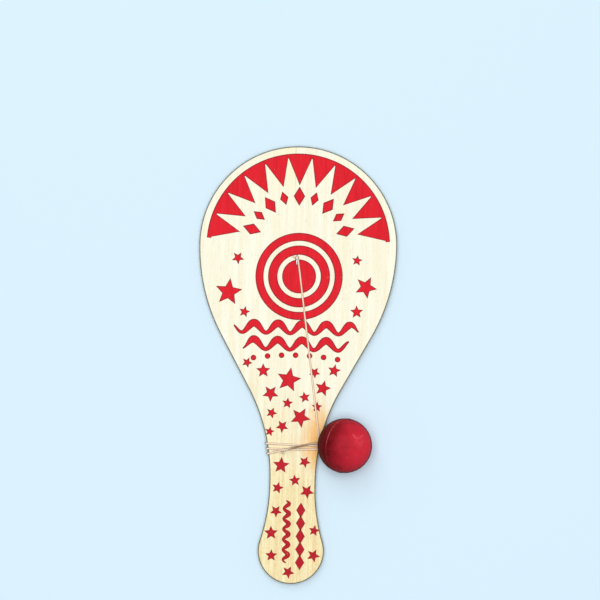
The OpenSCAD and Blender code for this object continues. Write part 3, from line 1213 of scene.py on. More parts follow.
class Motif(Enum):
    """The printed shapes: corners, the inner corners' share of the outer radius, and the squash."""

    STAR = (5, 0.46, 1.0)
    DIAMOND = (4, 0.7071, 0.6)
    TRIANGLE = (3, 0.5, 0.75)
    DOT = (60, 1.0, 1.0)

    @property
    def edge_share(self) -> float:
        """About how far an edge moves outwards when the outer radius grows by one."""
        return max(0.5, self.value[1] * self.value[2])


def printed(tree: Tree, flat: Socket, raised: Socket, ink: Socket) -> Socket:
    """Closes raised ink with its own underside and gives it the ink.

    Args:
        tree: The Geometry Nodes tree.
        flat: The flat shapes.
        raised: The same shapes, extruded.
        ink: The material.

    Returns:
        The finished print's socket.
    """
    under = put(tree, "GeometryNodeFlipFaces", {"Mesh": flat}).outputs[0]
    both = put(tree, "GeometryNodeJoinGeometry")
    tree.links.new(raised, both.inputs[0])
    tree.links.new(under, both.inputs[0])
    closed = put(tree, "GeometryNodeMergeByDistance", {"Geometry": both.outputs[0], "Distance": 1e-6}).outputs[0]
    faceted = put(tree, "GeometryNodeSetShadeSmooth", {"Geometry": closed, "Shade Smooth": False}).outputs[0]
    whole = put(tree, "GeometryNodeRealizeInstances", {"Geometry": faceted}).outputs[0]
    return put(tree, "GeometryNodeSetMaterial", {"Geometry": whole, "Material": ink}).outputs[0]


def motif_tree() -> Tree:
    """Prints one shape on every point of a set, with the point's own size and turn.

    Returns:
        The tree.
    """
    tree, given, out = new_group(
        "print_motifs", "GeometryNodeTree",
        [("Points", "NodeSocketGeometry", None), ("Corners", "NodeSocketInt", 5),
         ("Inner share", "NodeSocketFloat", 0.46), ("Squash", "NodeSocketFloat", 1.0),
         ("Ink thickness", "NodeSocketFloat", 0.04 * MM), ("Ink", "NodeSocketMaterial", None)],
        [("Print", "NodeSocketGeometry")],
    )
    star = put(tree, "GeometryNodeCurveStar", {
        "Points": given.outputs["Corners"], "Inner Radius": given.outputs["Inner share"],
        "Outer Radius": 1.0, "Twist": 0.0}).outputs["Curve"]
    squash = put(tree, "ShaderNodeCombineXYZ", {0: 1.0, 1: given.outputs["Squash"], 2: 1.0}).outputs[0]
    shaped = put(tree, "GeometryNodeTransform", {"Geometry": star, "Scale": squash}).outputs[0]
    flat = put(tree, "GeometryNodeFillCurve", {"Curve": shaped}, mode="NGONS").outputs[0]
    spin = put(tree, "ShaderNodeCombineXYZ", {2: read_float(tree, "turn")}).outputs[0]
    spread = put(tree, "GeometryNodeInstanceOnPoints", {
        "Points": given.outputs["Points"], "Instance": flat, "Rotation": spin,
        "Scale": read_float(tree, "size")}).outputs[0]
    real = put(tree, "GeometryNodeRealizeInstances", {"Geometry": spread}).outputs[0]
    raised = put(tree, "GeometryNodeExtrudeMesh", {
        "Mesh": real, "Offset Scale": given.outputs["Ink thickness"], "Individual": False}).outputs[0]
    tree.links.new(printed(tree, real, raised, given.outputs["Ink"]), out.inputs[0])
    return tree


def stroke_tree() -> Tree:
    """Prints a flat stroke of changing width along a line of points.

    Returns:
        The tree.
    """
    tree, given, out = new_group(
        "print_strokes", "GeometryNodeTree",
        [("Line", "NodeSocketGeometry", None), ("Ink thickness", "NodeSocketFloat", 0.04 * MM),
         ("Ink", "NodeSocketMaterial", None)],
        [("Print", "NodeSocketGeometry")],
    )
    curve = put(tree, "GeometryNodeMeshToCurve", {"Mesh": given.outputs["Line"]}).outputs[0]
    level = put(tree, "GeometryNodeSetCurveNormal", {"Curve": curve}, mode="Z_UP").outputs[0]
    nib = put(tree, "GeometryNodeCurvePrimitiveLine", {
        "Start": (-0.5, 0.0, 0.0), "End": (0.5, 0.0, 0.0)}).outputs[0]
    ribbon = put(tree, "GeometryNodeCurveToMesh", {
        "Curve": level, "Profile Curve": nib, "Scale": read_float(tree, "width"), "Fill Caps": False}).outputs[0]
    raised = put(tree, "GeometryNodeExtrudeMesh", {
        "Mesh": ribbon, "Offset": (0.0, 0.0, 1.0), "Offset Scale": given.outputs["Ink thickness"],
        "Individual": False}).outputs[0]
    tree.links.new(printed(tree, ribbon, raised, given.outputs["Ink"]), out.inputs[0])
    return tree


@dataclass(frozen=True)
class Mark:
    """One printed shape: its place, its outer radius and its turn in degrees."""

    x: float
    y: float
    size: float
    turn: float = 0.0


@dataclass(frozen=True)
class Wave:
    """One wavy stroke: its start, its direction and length, its waves and its least and greatest width."""

    start: tuple[float, float]
    way: tuple[float, float]
    length: float
    rise: float
    period: float
    nib: tuple[float, float]


@dataclass
class FacePrint:
    """The red print of the face: a garland, a bullseye, waves, scattered stars and a handle band."""

    shape: PaddleShape
    rim_w: float = 0.3
    rim_motif_t: float = 0.03
    rim_stroke_t: float = 0.037
    ink_t: float = 0.044
    stroke_t: float = 0.055
    sunk: float = 0.015
    target: tuple[float, float] = (1.0, 57.0)
    rings: tuple[tuple[float, float], ...] = ((25.4, 4.6), (16.9, 5.4))
    target_dot: float = 10.6
    garland_r: float = 57.5
    cord_w: float = 2.2
    cord_turns: tuple[float, float] = (3.4, 176.6)
    pennants: int = 11
    pennant_l: float = 18.5
    pennant_turns: tuple[float, float] = (4.0, 176.0)
    diamonds_r: float = 31.5
    diamonds_turn: float = 18.0
    diamond_sizes: tuple[float, float] = (5.6, 4.0)
    column_at: tuple[float, float] = (5.8, -93.0)
    column_step: float = 8.4
    column_size: float = 4.4
    dot_r: float = 1.5
    dot_step: float = 9.0
    dot_y: float = 6.4
    dot_droop: float = 0.003
    waves: tuple[Wave, ...] = (
        Wave((-40.0, 23.5), (1.0, 0.0), 80.0, 3.1, 15.5, (2.1, 4.5)),
        Wave((-34.0, 13.0), (1.0, 0.0), 68.0, 3.1, 15.5, (2.1, 4.5)),
        Wave((-3.4, -87.0), (0.0, -1.0), 40.0, 1.6, 6.6, (1.3, 2.4)),
    )
    wave_points: float = 2.5

    @property
    def ink_z(self) -> float:
        """Height of the ink's underside, a little below the face."""
        return self.shape.face_z - self.sunk

    def around(self, radius: float, degrees: float) -> tuple[float, float]:
        """A place on a circle about the middle of the blade's half circle."""
        a = math.radians(degrees)
        return radius * math.cos(a), self.shape.head_y + radius * math.sin(a)

    def stars(self) -> list[Mark]:
        """Stars beside the bullseye, on the lower blade, the neck and the handle.

        Returns:
            The stars.
        """
        return [
            Mark(-44.0, 46.0, 8.4, 12), Mark(44.0, 51.0, 6.8, -8), Mark(-38.5, 68.0, 3.6, -14),
            Mark(38.5, 35.0, 3.8, 20), Mark(-33.5, 33.5, 3.2, 6), Mark(38.0, 68.0, 3.0, 10),
            Mark(-4.0, -9.5, 7.6, 8), Mark(-20.5, -4.0, 4.2, 20), Mark(12.5, -4.5, 3.2, -14),
            Mark(25.0, -3.0, 3.8, 8), Mark(-31.0, 1.0, 3.0, -6), Mark(-15.5, -18.5, 4.9, -18),
            Mark(6.5, -20.5, 3.2, 30), Mark(18.0, -14.5, 4.8, 4), Mark(-4.5, -24.5, 3.1, 12),
            Mark(-14.5, -31.0, 3.2, -4), Mark(4.0, -33.5, 6.2, -10), Mark(14.5, -26.5, 3.0, 16),
            Mark(-7.5, -39.5, 3.7, -22), Mark(-15.5, -43.0, 2.7, 8), Mark(-7.6, -64.5, 5.0, 14),
            Mark(7.5, -62.0, 3.4, -8), Mark(1.5, -74.0, 3.3, 26), Mark(9.4, -81.0, 4.2, -12),
            Mark(-9.5, -79.0, 3.4, 4), Mark(-10.2, -94.0, 3.5, -16), Mark(-13.0, -108.0, 4.1, 20),
            Mark(14.6, -106.0, 3.2, 8), Mark(14.5, -122.0, 3.9, -6), Mark(-12.5, -122.5, 3.5, 18),
            Mark(-1.5, -133.0, 3.7, -10),
        ]

    def diamonds(self) -> list[Mark]:
        """The arc of diamonds inside the garland, and the column on the handle.

        Returns:
            The diamonds.
        """
        turns = [self.diamonds_turn * k for k in range(1, 10)]
        arc = [Mark(*self.around(self.diamonds_r, turn), self.diamond_sizes[k % 2], turn)
               for k, turn in enumerate(turns)]
        x, top = self.column_at
        return arc + [Mark(x, top - self.column_step * k, self.column_size, 90) for k in range(5)]

    def triangles(self) -> list[Mark]:
        """The garland's pennants, which point to the middle of the blade.

        Returns:
            The pennants.
        """
        first, last = self.pennant_turns
        step = (last - first) / self.pennants
        turns = [first + step * (k + 0.5) for k in range(self.pennants)]
        radius, size = self.garland_r - self.pennant_l / 3, self.pennant_l * 2 / 3
        return [Mark(*self.around(radius, turn), size, turn + 180) for turn in turns]

    def dots(self) -> list[Mark]:
        """The bullseye's centre and the dots under the waves.

        Returns:
            The dots.
        """
        xs = [self.dot_step * k for k in range(-3, 4)]
        row = [Mark(x, self.dot_y - self.dot_droop * x * x, self.dot_r) for x in xs]
        return [Mark(*self.target, self.target_dot), *row]

    def points(self, name: str, marks: list[Mark], spread: float) -> Piece:
        """The point set of one kind of shape.

        Args:
            name: The piece's name.
            marks: The shapes.
            spread: How much the ink adds to their outer radius.

        Returns:
            The points that the motif tree prints on.
        """
        return point_set(
            name, [Vector((mark.x, mark.y, self.ink_z)) for mark in marks], [],
            size=[(mark.size + spread) * MM for mark in marks],
            turn=[math.radians(mark.turn) for mark in marks],
        )

    def circle(self, middle: tuple[float, float], radius: float, width: float,
               ends: tuple[float, float] = (0.0, 360.0)) -> Stroke:
        """A stroke along a circle or an arc.

        Args:
            middle: The circle's middle.
            radius: The radius of the stroke's middle line.
            width: The stroke's width.
            ends: Where it starts and ends, in degrees.

        Returns:
            The stroke's points and widths.
        """
        start, end = [math.radians(a) for a in ends]
        count = round(2 * radius * (end - start))
        turns = [start + (end - start) * i / count for i in range(count + 1)]
        x, y = middle
        line = [Vector((x + radius * math.cos(a), y + radius * math.sin(a), self.ink_z)) for a in turns]
        return line, [width] * len(line)

    def wave(self, drawn: Wave) -> Stroke:
        """A wavy stroke that swells on one side of each wave and tapers at both ends.

        Args:
            drawn: The stroke as it is drawn.

        Returns:
            The stroke's points and widths.
        """
        start, way = Vector(drawn.start), Vector(drawn.way)
        across = Vector((-way.y, way.x))
        least, greatest = drawn.nib
        count = round(drawn.length * self.wave_points)
        line, widths = [], []
        for i in range(count + 1):
            gone = drawn.length * i / count
            turn = FULL_TURN * (gone - drawn.length / 2) / drawn.period
            place = start + way * gone + across * (drawn.rise * math.sin(turn))
            line.append(Vector((place.x, place.y, self.ink_z)))
            swell = least + (greatest - least) * (0.5 + 0.5 * math.sin(turn))
            widths.append(swell * min(1.0, min(gone, drawn.length - gone) / (drawn.period * 0.45) + 0.1))
        return line, widths

    def strokes(self, name: str, spread: float) -> Piece:
        """The bullseye's rings, the garland's cord, the waves and the handle's wavy line.

        Args:
            name: The piece's name.
            spread: How much wider than drawn every stroke becomes.

        Returns:
            The lines that the stroke tree prints.
        """
        lines = [self.circle(self.target, radius, width) for radius, width in self.rings]
        lines.append(self.circle((0.0, self.shape.head_y), self.garland_r, self.cord_w, self.cord_turns))
        lines += [self.wave(drawn) for drawn in self.waves]
        points = [point for line, _ in lines for point in line]
        widths = [(width + spread) * MM for _, drawn in lines for width in drawn]
        return point_set(name, points, [len(line) for line, _ in lines], width=widths)

    def build(self, ink: Material, rim_ink: Material) -> list[Piece]:
        """Prints every shape and stroke on the face, each over a slightly wider and darker rim.

        Args:
            ink: The ink's material.
            rim_ink: The material of the ink that is squeezed out at the edges.

        Returns:
            The pieces.
        """
        motifs, strokes = motif_tree(), stroke_tree()
        kinds = [("stars", Motif.STAR, self.stars()), ("diamonds", Motif.DIAMOND, self.diamonds()),
                 ("pennants", Motif.TRIANGLE, self.triangles()), ("dots", Motif.DOT, self.dots())]
        layers = [("print", ink, -self.rim_w, self.ink_t, self.stroke_t),
                  ("rim", rim_ink, self.rim_w, self.rim_motif_t, self.rim_stroke_t)]
        pieces = []
        for layer, material, spread, motif_t, stroke_t in layers:
            for name, motif, marks in kinds:
                corners, inner, squash = motif.value
                grow = spread / motif.edge_share
                pieces.append(grown(self.points(f"{layer}_{name}", marks, grow), motifs, {
                    "Corners": corners, "Inner share": inner, "Squash": squash,
                    "Ink thickness": motif_t * MM, "Ink": material}))
            pieces.append(grown(self.strokes(f"{layer}_strokes", 2 * spread), strokes, {
                "Ink thickness": stroke_t * MM, "Ink": material}))
        for piece in pieces:
            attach(piece, "paddle")
        return pieces


# ---------------------------------------------------------------------------------------------
# The elastic thread
# ---------------------------------------------------------------------------------------------


def strand_tree() -> Tree:
    """A round strand along a line of points, whose girth changes from point to point.

    Returns:
        The tree.
    """
    tree, given, out = new_group(
        "rubber_strand", "GeometryNodeTree",
        [("Line", "NodeSocketGeometry", None), ("Strand radius", "NodeSocketFloat", 0.6 * MM),
         ("Sides", "NodeSocketInt", 14), ("Rubber", "NodeSocketMaterial", None)],
        [("Strand", "NodeSocketGeometry")],
    )
    curve = put(tree, "GeometryNodeMeshToCurve", {"Mesh": given.outputs["Line"]}).outputs[0]
    length = put(tree, "GeometryNodeSplineParameter").outputs["Length"]
    marked = write_float(tree, curve, "along", length)
    circle = put(tree, "GeometryNodeCurvePrimitiveCircle", {
        "Resolution": given.outputs["Sides"], "Radius": given.outputs["Strand radius"]}).outputs[0]
    factor = put(tree, "GeometryNodeSplineParameter").outputs["Factor"]
    swing = calc(tree, "ABSOLUTE", calc(tree, "MULTIPLY_ADD", factor, 2.0, -1.0))
    ring = write_float(tree, circle, "around", swing)
    tube = put(tree, "GeometryNodeCurveToMesh", {
        "Curve": marked, "Profile Curve": ring, "Scale": read_float(tree, "girth"),
        "Fill Caps": True}).outputs[0]
    smooth = put(tree, "GeometryNodeSetShadeSmooth", {"Geometry": tube, "Shade Smooth": True}).outputs[0]
    whole = put(tree, "GeometryNodeRealizeInstances", {"Geometry": smooth}).outputs[0]
    strand = put(tree, "GeometryNodeSetMaterial", {
        "Geometry": whole, "Material": given.outputs["Rubber"]}).outputs[0]
    tree.links.new(strand, out.inputs[0])
    return tree


@dataclass
class ElasticThread:
    """The thread from its loose end through the hitch, the run and the winding to the ball's lead.

    The shares say where a turn passes the neck's edge, counted in pitches from the winding's middle.
    """

    shape: PaddleShape
    strand_d: float = 1.2
    hitch_d: float = 0.9
    wrap_gap: float = 0.15
    wrap_y: float = -51.5
    wrap_pitch: float = 2.0
    right_shares: tuple[float, ...] = (1.9, 0.0, -1.0)
    left_shares: tuple[float, ...] = (0.45, -1.2, -2.75)
    bows: tuple[float, ...] = (0.0, -0.35)
    run_bend_r: float = 1.4
    leave_at: Vector = place_field(12.4, -49.9, 8.6)
    ball_at: Vector = place_field(32.8363, -50.5, 17.5)
    crown_at: Vector = place_field(-0.6, 68.7, 7.55)
    run_start: Vector = place_field(0.225, 67.73, 6.9)
    hitch_r: float = 0.9
    hitch_pitch: float = 0.7
    hitch_turns: int = 2
    hitch_deg: float = 262.0
    tail_l: float = 2.4
    tail_z: float = 0.65
    tail_sag: float = 0.2
    climb: tuple[float, float] = (0.08, 0.27)
    curl_t: float = 0.33
    curl_fall: float = 0.3
    curl_r: float = 0.95
    curl_rise: float = 1.3
    curl_sag: float = 0.8
    curl_girth: float = 0.8
    curl_reach: float = 2.5
    curl_mid: Vector = place_field(-6.9, -55.6, 8.8)
    # These four place the painted shade: on the raised crossing turn, easing to the lead's share near the ball.
    rubbed_x: tuple[float, float] = (-6.5, 0.5)
    rubbed_rise: tuple[float, float] = (0.4, 1.2)
    painted_shade_fade_x: tuple[float, float] = (6.0, 13.0)
    lead_rubbed: float = 0.55
    uneven: float = 0.035
    ball_reach: float = 13.4
    ball_skin: float = 17.0
    bend_steps: int = 9
    run_steps: int = 40
    under_steps: int = 18
    over_steps: int = 24
    cross_steps: int = 30
    lead_steps: int = 40
    cap_turns: tuple[int, ...] = (20, 40, 60, 78)

    @property
    def off(self) -> float:
        """Distance of the strand's middle from the wood."""
        return self.wrap_gap + self.strand_d / 2

    @property
    def top(self) -> float:
        """Height of a strand that lies on the face."""
        return self.shape.face_z + self.off

    @property
    def under(self) -> float:
        """Height of a strand that lies under the back."""
        return self.shape.back_z - self.off

    @property
    def lead_way(self) -> Vector:
        """Direction from the leaving point to the ball's middle."""
        return (self.ball_at - self.leave_at).normalized()

    @property
    def lead_at(self) -> Vector:
        """Where the winding ends and the lead starts."""
        return self.leave_at + self.lead_way * self.strand_d

    @staticmethod
    def eased(t: float, start: float, end: float) -> float:
        """A smooth step from 0 to 1 between two values of t."""
        step = max(0.0, min(1.0, (t - start) / (end - start)))
        return step * step * (3 - 2 * step)

    @staticmethod
    def between(first: Vector, last: Vector, count: int, bow: float = 0.0) -> list[Vector]:
        """Places between two others, without them.

        Args:
            first: The place before them.
            last: The place after them.
            count: How many there are.
            bow: How far the middle is moved along Y.

        Returns:
            The places.
        """
        shares = [i / (count + 1) for i in range(1, count + 1)]
        return [first.lerp(last, t) + Vector((0, bow * math.sin(math.pi * t), 0)) for t in shares]

    def wrap_half_w(self, y: float) -> float:
        """Half the width at which a strand passes the neck's edge, where its upper side clears the wood."""
        return self.shape.neck_half_w(y + self.strand_d / 2)

    def edge_bend(self, x: float, y: float, z: float, start: float, end: float) -> list[Vector]:
        """One bend round an edge of the neck.

        Args:
            x: The edge's place across the paddle.
            y: Its place along the paddle.
            z: Its height.
            start: Where the bend starts, in degrees.
            end: Where it ends, in degrees.

        Returns:
            The strand's places.
        """
        turns = [math.radians(start + (end - start) * i / self.bend_steps) for i in range(self.bend_steps + 1)]
        return [Vector((x + self.off * math.cos(a), y, z + self.off * math.sin(a))) for a in turns]

    def hitch(self) -> list[Vector]:
        """The loose end and the turns round the staple's crown.

        Returns:
            The strand's places.
        """
        x, y, z = self.crown_at
        start = Vector((x - self.hitch_r - self.tail_l, y + 1.5 * self.hitch_pitch,
                        self.shape.face_z + self.tail_z))
        route = [start + Vector((self.tail_l * t, -self.tail_sag * math.sin(math.pi * t), 0))
                 for t in (0, 0.3, 0.6, 0.85)]
        steps = 24 * self.hitch_turns
        for i in range(steps + 1):
            share = i / steps
            a = math.radians(self.hitch_deg + 360 * self.hitch_turns * share)
            route.append(Vector((x + self.hitch_r * math.cos(a), y + self.hitch_pitch * (1 - 2 * share) + 0.1,
                                 z + self.hitch_r * math.sin(a))))
        return route

    def run(self) -> list[Vector]:
        """The straight run down the face and the bend over the neck's right edge.

        Returns:
            The strand's places.
        """
        right_y = self.wrap_y + self.right_shares[0] * self.wrap_pitch
        bend_at = Vector((self.wrap_half_w(right_y), right_y + self.run_bend_r))
        way = bend_at - self.run_start.xy
        turn = math.atan2(way.y, way.x) - math.asin(self.run_bend_r / way.length)
        first = bend_at + self.run_bend_r * Vector((math.sin(turn), -math.cos(turn)))
        goal = Vector((*first, self.top))
        route = [self.run_start.lerp(goal, i / self.run_steps) for i in range(self.run_steps + 1)]
        for i in range(1, self.bend_steps):
            a = turn * (1 - i / self.bend_steps) - math.pi / 2
            place = bend_at + self.run_bend_r * Vector((math.cos(a), math.sin(a)))
            route.append(Vector((*place, self.top)))
        return route

    def under_pass(self, right: Vector, left: Vector) -> list[Vector]:
        """Down the neck's right edge, along its back and up its left edge.

        Args:
            right: Where the strand goes over the right edge, in X and Y.
            left: Where it comes back over the left edge.

        Returns:
            The strand's places.
        """
        back, face = self.shape.back_z, self.shape.face_z
        return [
            *self.edge_bend(*right, face, 90, 0),
            *self.edge_bend(*right, back, 0, -90),
            *self.between(Vector((*right, self.under)), Vector((*left, self.under)), self.under_steps),
            *self.edge_bend(*left, back, -90, -180),
            *self.edge_bend(*left, face, 180, 90),
        ]

    def winding(self) -> list[Vector]:
        """Three turns round the neck, the last crossing over the others, and the leaving point.

        Returns:
            The strand's places.
        """
        right_ys = [self.wrap_y + share * self.wrap_pitch for share in self.right_shares]
        left_ys = [self.wrap_y + share * self.wrap_pitch for share in self.left_shares]
        rights = [Vector((self.wrap_half_w(y), y)) for y in right_ys]
        lefts = [Vector((-self.wrap_half_w(y), y)) for y in left_ys]
        route = []
        for right, left, following, bow in zip(rights, lefts, rights[1:], self.bows):
            route += self.under_pass(right, left)
            route += self.between(Vector((*left, self.top)), Vector((*following, self.top)), self.over_steps, bow)
        route += self.under_pass(rights[-1], lefts[-1])
        return route + self.crossing(Vector((*lefts[-1], self.top))) + [self.lead_at]

    def crossing(self, start: Vector) -> list[Vector]:
        """The last pass over the face, which climbs over the other turns and hangs in a curl on its way.

        Args:
            start: Where the strand comes over the left edge.

        Returns:
            The strand's places.
        """
        route = []
        rise = self.leave_at.z - self.top
        curled = False
        for i in range(1, self.cross_steps + 1):
            t = i / self.cross_steps
            place = start.lerp(self.leave_at, t)
            place.z = self.top + rise * self.eased(t, *self.climb)
            if curled:
                place.z += self.curl_rise * (1 - self.eased(t, self.curl_t, self.curl_t + self.curl_fall))
            route.append(place)
            if t >= self.curl_t and not curled:
                curled = True
                route += self.curl(place)
        return route

    def curl(self, start: Vector) -> list[Vector]:
        """The small slack curl that hangs below the crossing turn and rises over itself.

        Args:
            start: Where the curl leaves the turn.

        Returns:
            The strand's places.
        """
        loop = []
        for a in range(20, 361, 20):
            turn = math.radians(a)
            sag = self.curl_sag * math.sin(turn / 2) ** 2
            loop.append(start + Vector((self.curl_r * math.sin(turn), self.curl_r * (math.cos(turn) - 1),
                                        self.curl_rise * a / 360 - sag)))
        return loop

    def girths(self, route: list[Vector], thin_until: int) -> list[float]:
        """How thick the strand is, from place to place: thin in the hitch and a little in the curl.

        Args:
            route: The strand's places.
            thin_until: How many of them belong to the hitch.

        Returns:
            Each place's share of the strand's full girth.
        """
        ratio = self.hitch_d / self.strand_d
        made = []
        for i, point in enumerate(route):
            t = max(0.0, min(1.0, (i - thin_until + 2) / 5))
            apart = max(0.0, (point - self.curl_mid).length - self.curl_r)
            slack = max(0.0, 1 - apart / self.curl_reach)
            share = (1 + self.uneven * soft_noise(point * 0.9)) * (1 - (1 - self.curl_girth) * slack * slack)
            made.append((ratio + (1 - ratio) * t) * share)
        return made

    def rubbed(self, route: list[Vector]) -> list[float]:
        """How much painted shade each place takes: most on the crossing turn, right of its curl.

        Args:
            route: The strand's places.

        Returns:
            Each place's share of painted shade.
        """
        made = []
        for point in route:
            raised = self.eased(point.z - self.top, *self.rubbed_rise) if point.y < 0 else 0.0
            kept = 1 - (1 - self.lead_rubbed) * self.eased(point.x, *self.painted_shade_fade_x)
            made.append(raised * kept * self.eased(point.x, *self.rubbed_x))
        return made

    def rounded_end(self, stroke: Stroke) -> Stroke:
        """Adds a half-round end after the last place.

        Args:
            stroke: The strand's places and girths.

        Returns:
            The same, with the end.
        """
        route, girths = [*stroke[0]], [*stroke[1]]
        way = (route[-1] - route[-2]).normalized() * self.strand_d / 2
        for a in self.cap_turns:
            ahead = math.sin(math.radians(a)) - math.sin(math.radians(max(a - 20, 0)))
            route.append(route[-1] + way * ahead)
            girths.append(math.cos(math.radians(a)))
        return route, girths

    def lead(self) -> Stroke:
        """The free stretch from the winding's end into the ball, with a half-round start.

        Returns:
            The strand's places and girths.
        """
        turns = [math.radians(a) for a in reversed(self.cap_turns)]
        route = [self.lead_at - self.lead_way * self.strand_d / 2 * math.sin(turn) for turn in turns]
        reach = (self.ball_at - self.lead_at).length - self.ball_reach
        route += [self.lead_at + self.lead_way * reach * i / self.lead_steps for i in range(self.lead_steps + 1)]
        return route, [math.cos(turn) for turn in turns] + [1.0] * (self.lead_steps + 1)

    def build(self, rubber: Material) -> list[Piece]:
        """Makes the thread on the paddle and the lead to the ball.

        Args:
            rubber: The thread's material.

        Returns:
            The pieces.
        """
        tree = strand_tree()
        values = {"Strand radius": self.strand_d / 2 * MM, "Rubber": rubber}
        hitch = self.hitch()
        route = hitch + self.run() + self.winding()
        route, girths = self.rounded_end((route, self.girths(route, len(hitch))))
        seed = point_set("elastic_thread", route, [len(route)], girth=girths, rubbed=self.rubbed(route))
        thread = grown(seed, tree, values)
        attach(thread, "paddle")
        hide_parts("elastic_knot", "elastic_run", "elastic_wraps")
        route, girths = self.lead()
        # The lead takes an even share of painted shade.
        rubbed = [self.lead_rubbed] * len(route)
        seed = point_set("elastic_to_ball", route, [len(route)], girth=girths, rubbed=rubbed)
        lead = grown(seed, tree, values)
        surface = self.ball_at - self.lead_way * self.ball_skin
        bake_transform(lead, "lead", "ball", tuple(self.lead_at * MM), tuple(surface * MM))
        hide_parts("elastic_lead")
        return [thread, lead]


# ---------------------------------------------------------------------------------------------
# The ball
# ---------------------------------------------------------------------------------------------


@dataclass
class RubberBall:
    """The hollow ball with its mould seam and the small hole that the thread goes into."""

    at: Vector
    thread_way: Vector
    ball_d: float = 35.0
    wall: float = 4.5
    hole_d: float = 1.8
    lip_r: float = 0.35
    seam_t: float = 0.2
    seam_w: float = 1.0
    seam_way: Vector = place_field(0.7245, -0.093, 0.683)
    skin_in: float = 0.03
    uneven: float = 0.024
    segments: int = 168
    inner_steps: int = 40
    lip_steps: int = 6
    plain_deg: float = 2.0
    seam_deg: float = 0.45
    seam_zone: float = 22.0

    def profile(self) -> list[tuple[float, float]]:
        """The section of the shell, from the inside's far end to the mouth and round the outside.

        The rings lie closer where the seam is.

        Returns:
            Distance from the hole's axis and distance along it of each ring.
        """
        r, hole, lip = self.ball_d / 2, self.hole_d / 2, self.lip_r
        inner = r - self.wall
        points = []
        inner_turn = math.asin(hole / inner)
        for i in range(self.inner_steps + 1):
            a = math.pi - (math.pi - inner_turn) * i / self.inner_steps
            points.append((inner * math.sin(a), inner * math.cos(a)))
        lip_turn = math.asin((hole + lip) / (r - lip))
        x, z = (r - lip) * math.sin(lip_turn), (r - lip) * math.cos(lip_turn)
        for i in range(self.lip_steps + 1):
            a = math.pi - (math.pi / 2 + lip_turn) * i / self.lip_steps
            points.append((x + lip * math.cos(a), z + lip * math.sin(a)))
        a = math.degrees(lip_turn)
        while True:
            a += self.seam_deg if abs(a - 90) < self.seam_zone else self.plain_deg
            if a >= 180:
                return [*points, (0.0, -r)]
            points.append((r * math.sin(math.radians(a)), r * math.cos(math.radians(a))))

    def seam_lift(self, way: Vector) -> float:
        """Height of the mould seam with its uneven flash.

        Args:
            way: A direction from the ball's middle.

        Returns:
            The height there.
        """
        apart = abs(way.dot(self.seam_way.normalized())) * self.ball_d / 2
        half = self.seam_w / 2
        if apart > half:
            return 0.0
        flash = min(1.0, 0.8 + 0.5 * soft_noise(way * 9.0))
        return self.seam_t * flash * (0.5 + 0.5 * math.cos(math.pi * apart / half))

    def moulded(self, place: Vector) -> tuple[Vector, float]:
        """A place of the plain shell as it comes out of the mould.

        Args:
            place: The place, from the ball's middle.

        Returns:
            The moulded place and its share of the seam's crest, both unchanged on the inside.
        """
        if place.length <= self.ball_d / 2 - 0.01:
            return place, 0.0
        way = place.normalized()
        lift = self.seam_lift(way)
        crest = min(1.0, max(0.0, lift / self.seam_t - 0.35) * 2.2)
        radius = self.ball_d / 2 - self.skin_in + self.uneven * soft_noise(way * 2.2) + lift * 0.9
        return way * radius, crest

    def mesh(self) -> Mesh:
        """The ball as one closed shell with the hole through its wall.

        Returns:
            The mesh, whose vertices carry the attribute seam.
        """
        turn = self.thread_way.normalized().to_track_quat("Z", "Y").to_matrix()
        work = bmesh.new()
        seam_mark = work.verts.layers.float.new("seam")
        rings = []
        for radius, height in self.profile():
            ring = []
            for k in range(self.segments if radius > 1e-6 else 1):
                a = FULL_TURN * k / self.segments
                place, crest = self.moulded(turn @ Vector((radius * math.cos(a), radius * math.sin(a), height)))
                vert = work.verts.new((place + self.at) * MM)
                vert[seam_mark] = crest
                ring.append(vert)
            rings.append(ring)
        for first, second in zip(rings, rings[1:]):
            for face in band(work, first, second):
                face.smooth = True
        return mesh_from("ball_shell", work)

    def build(self, rubber: Material, thread: Material) -> list[Piece]:
        """Makes the ball and dresses the knot inside it.

        Args:
            rubber: The ball's material.
            thread: The thread's material.

        Returns:
            The pieces.
        """
        shell = object_of("ball_shell", self.mesh())
        shell.data.materials.append(rubber)
        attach(shell, "ball")
        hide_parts("ball")
        return [shell, dressed("ball_knot", thread)]


# ---------------------------------------------------------------------------------------------
# The studio
# ---------------------------------------------------------------------------------------------


@dataclass(frozen=True)
class Lamp:
    """A square area lamp: its name, its place and size in metres and its power in watts."""

    name: str
    place: tuple[float, float, float]
    size: float
    power: float


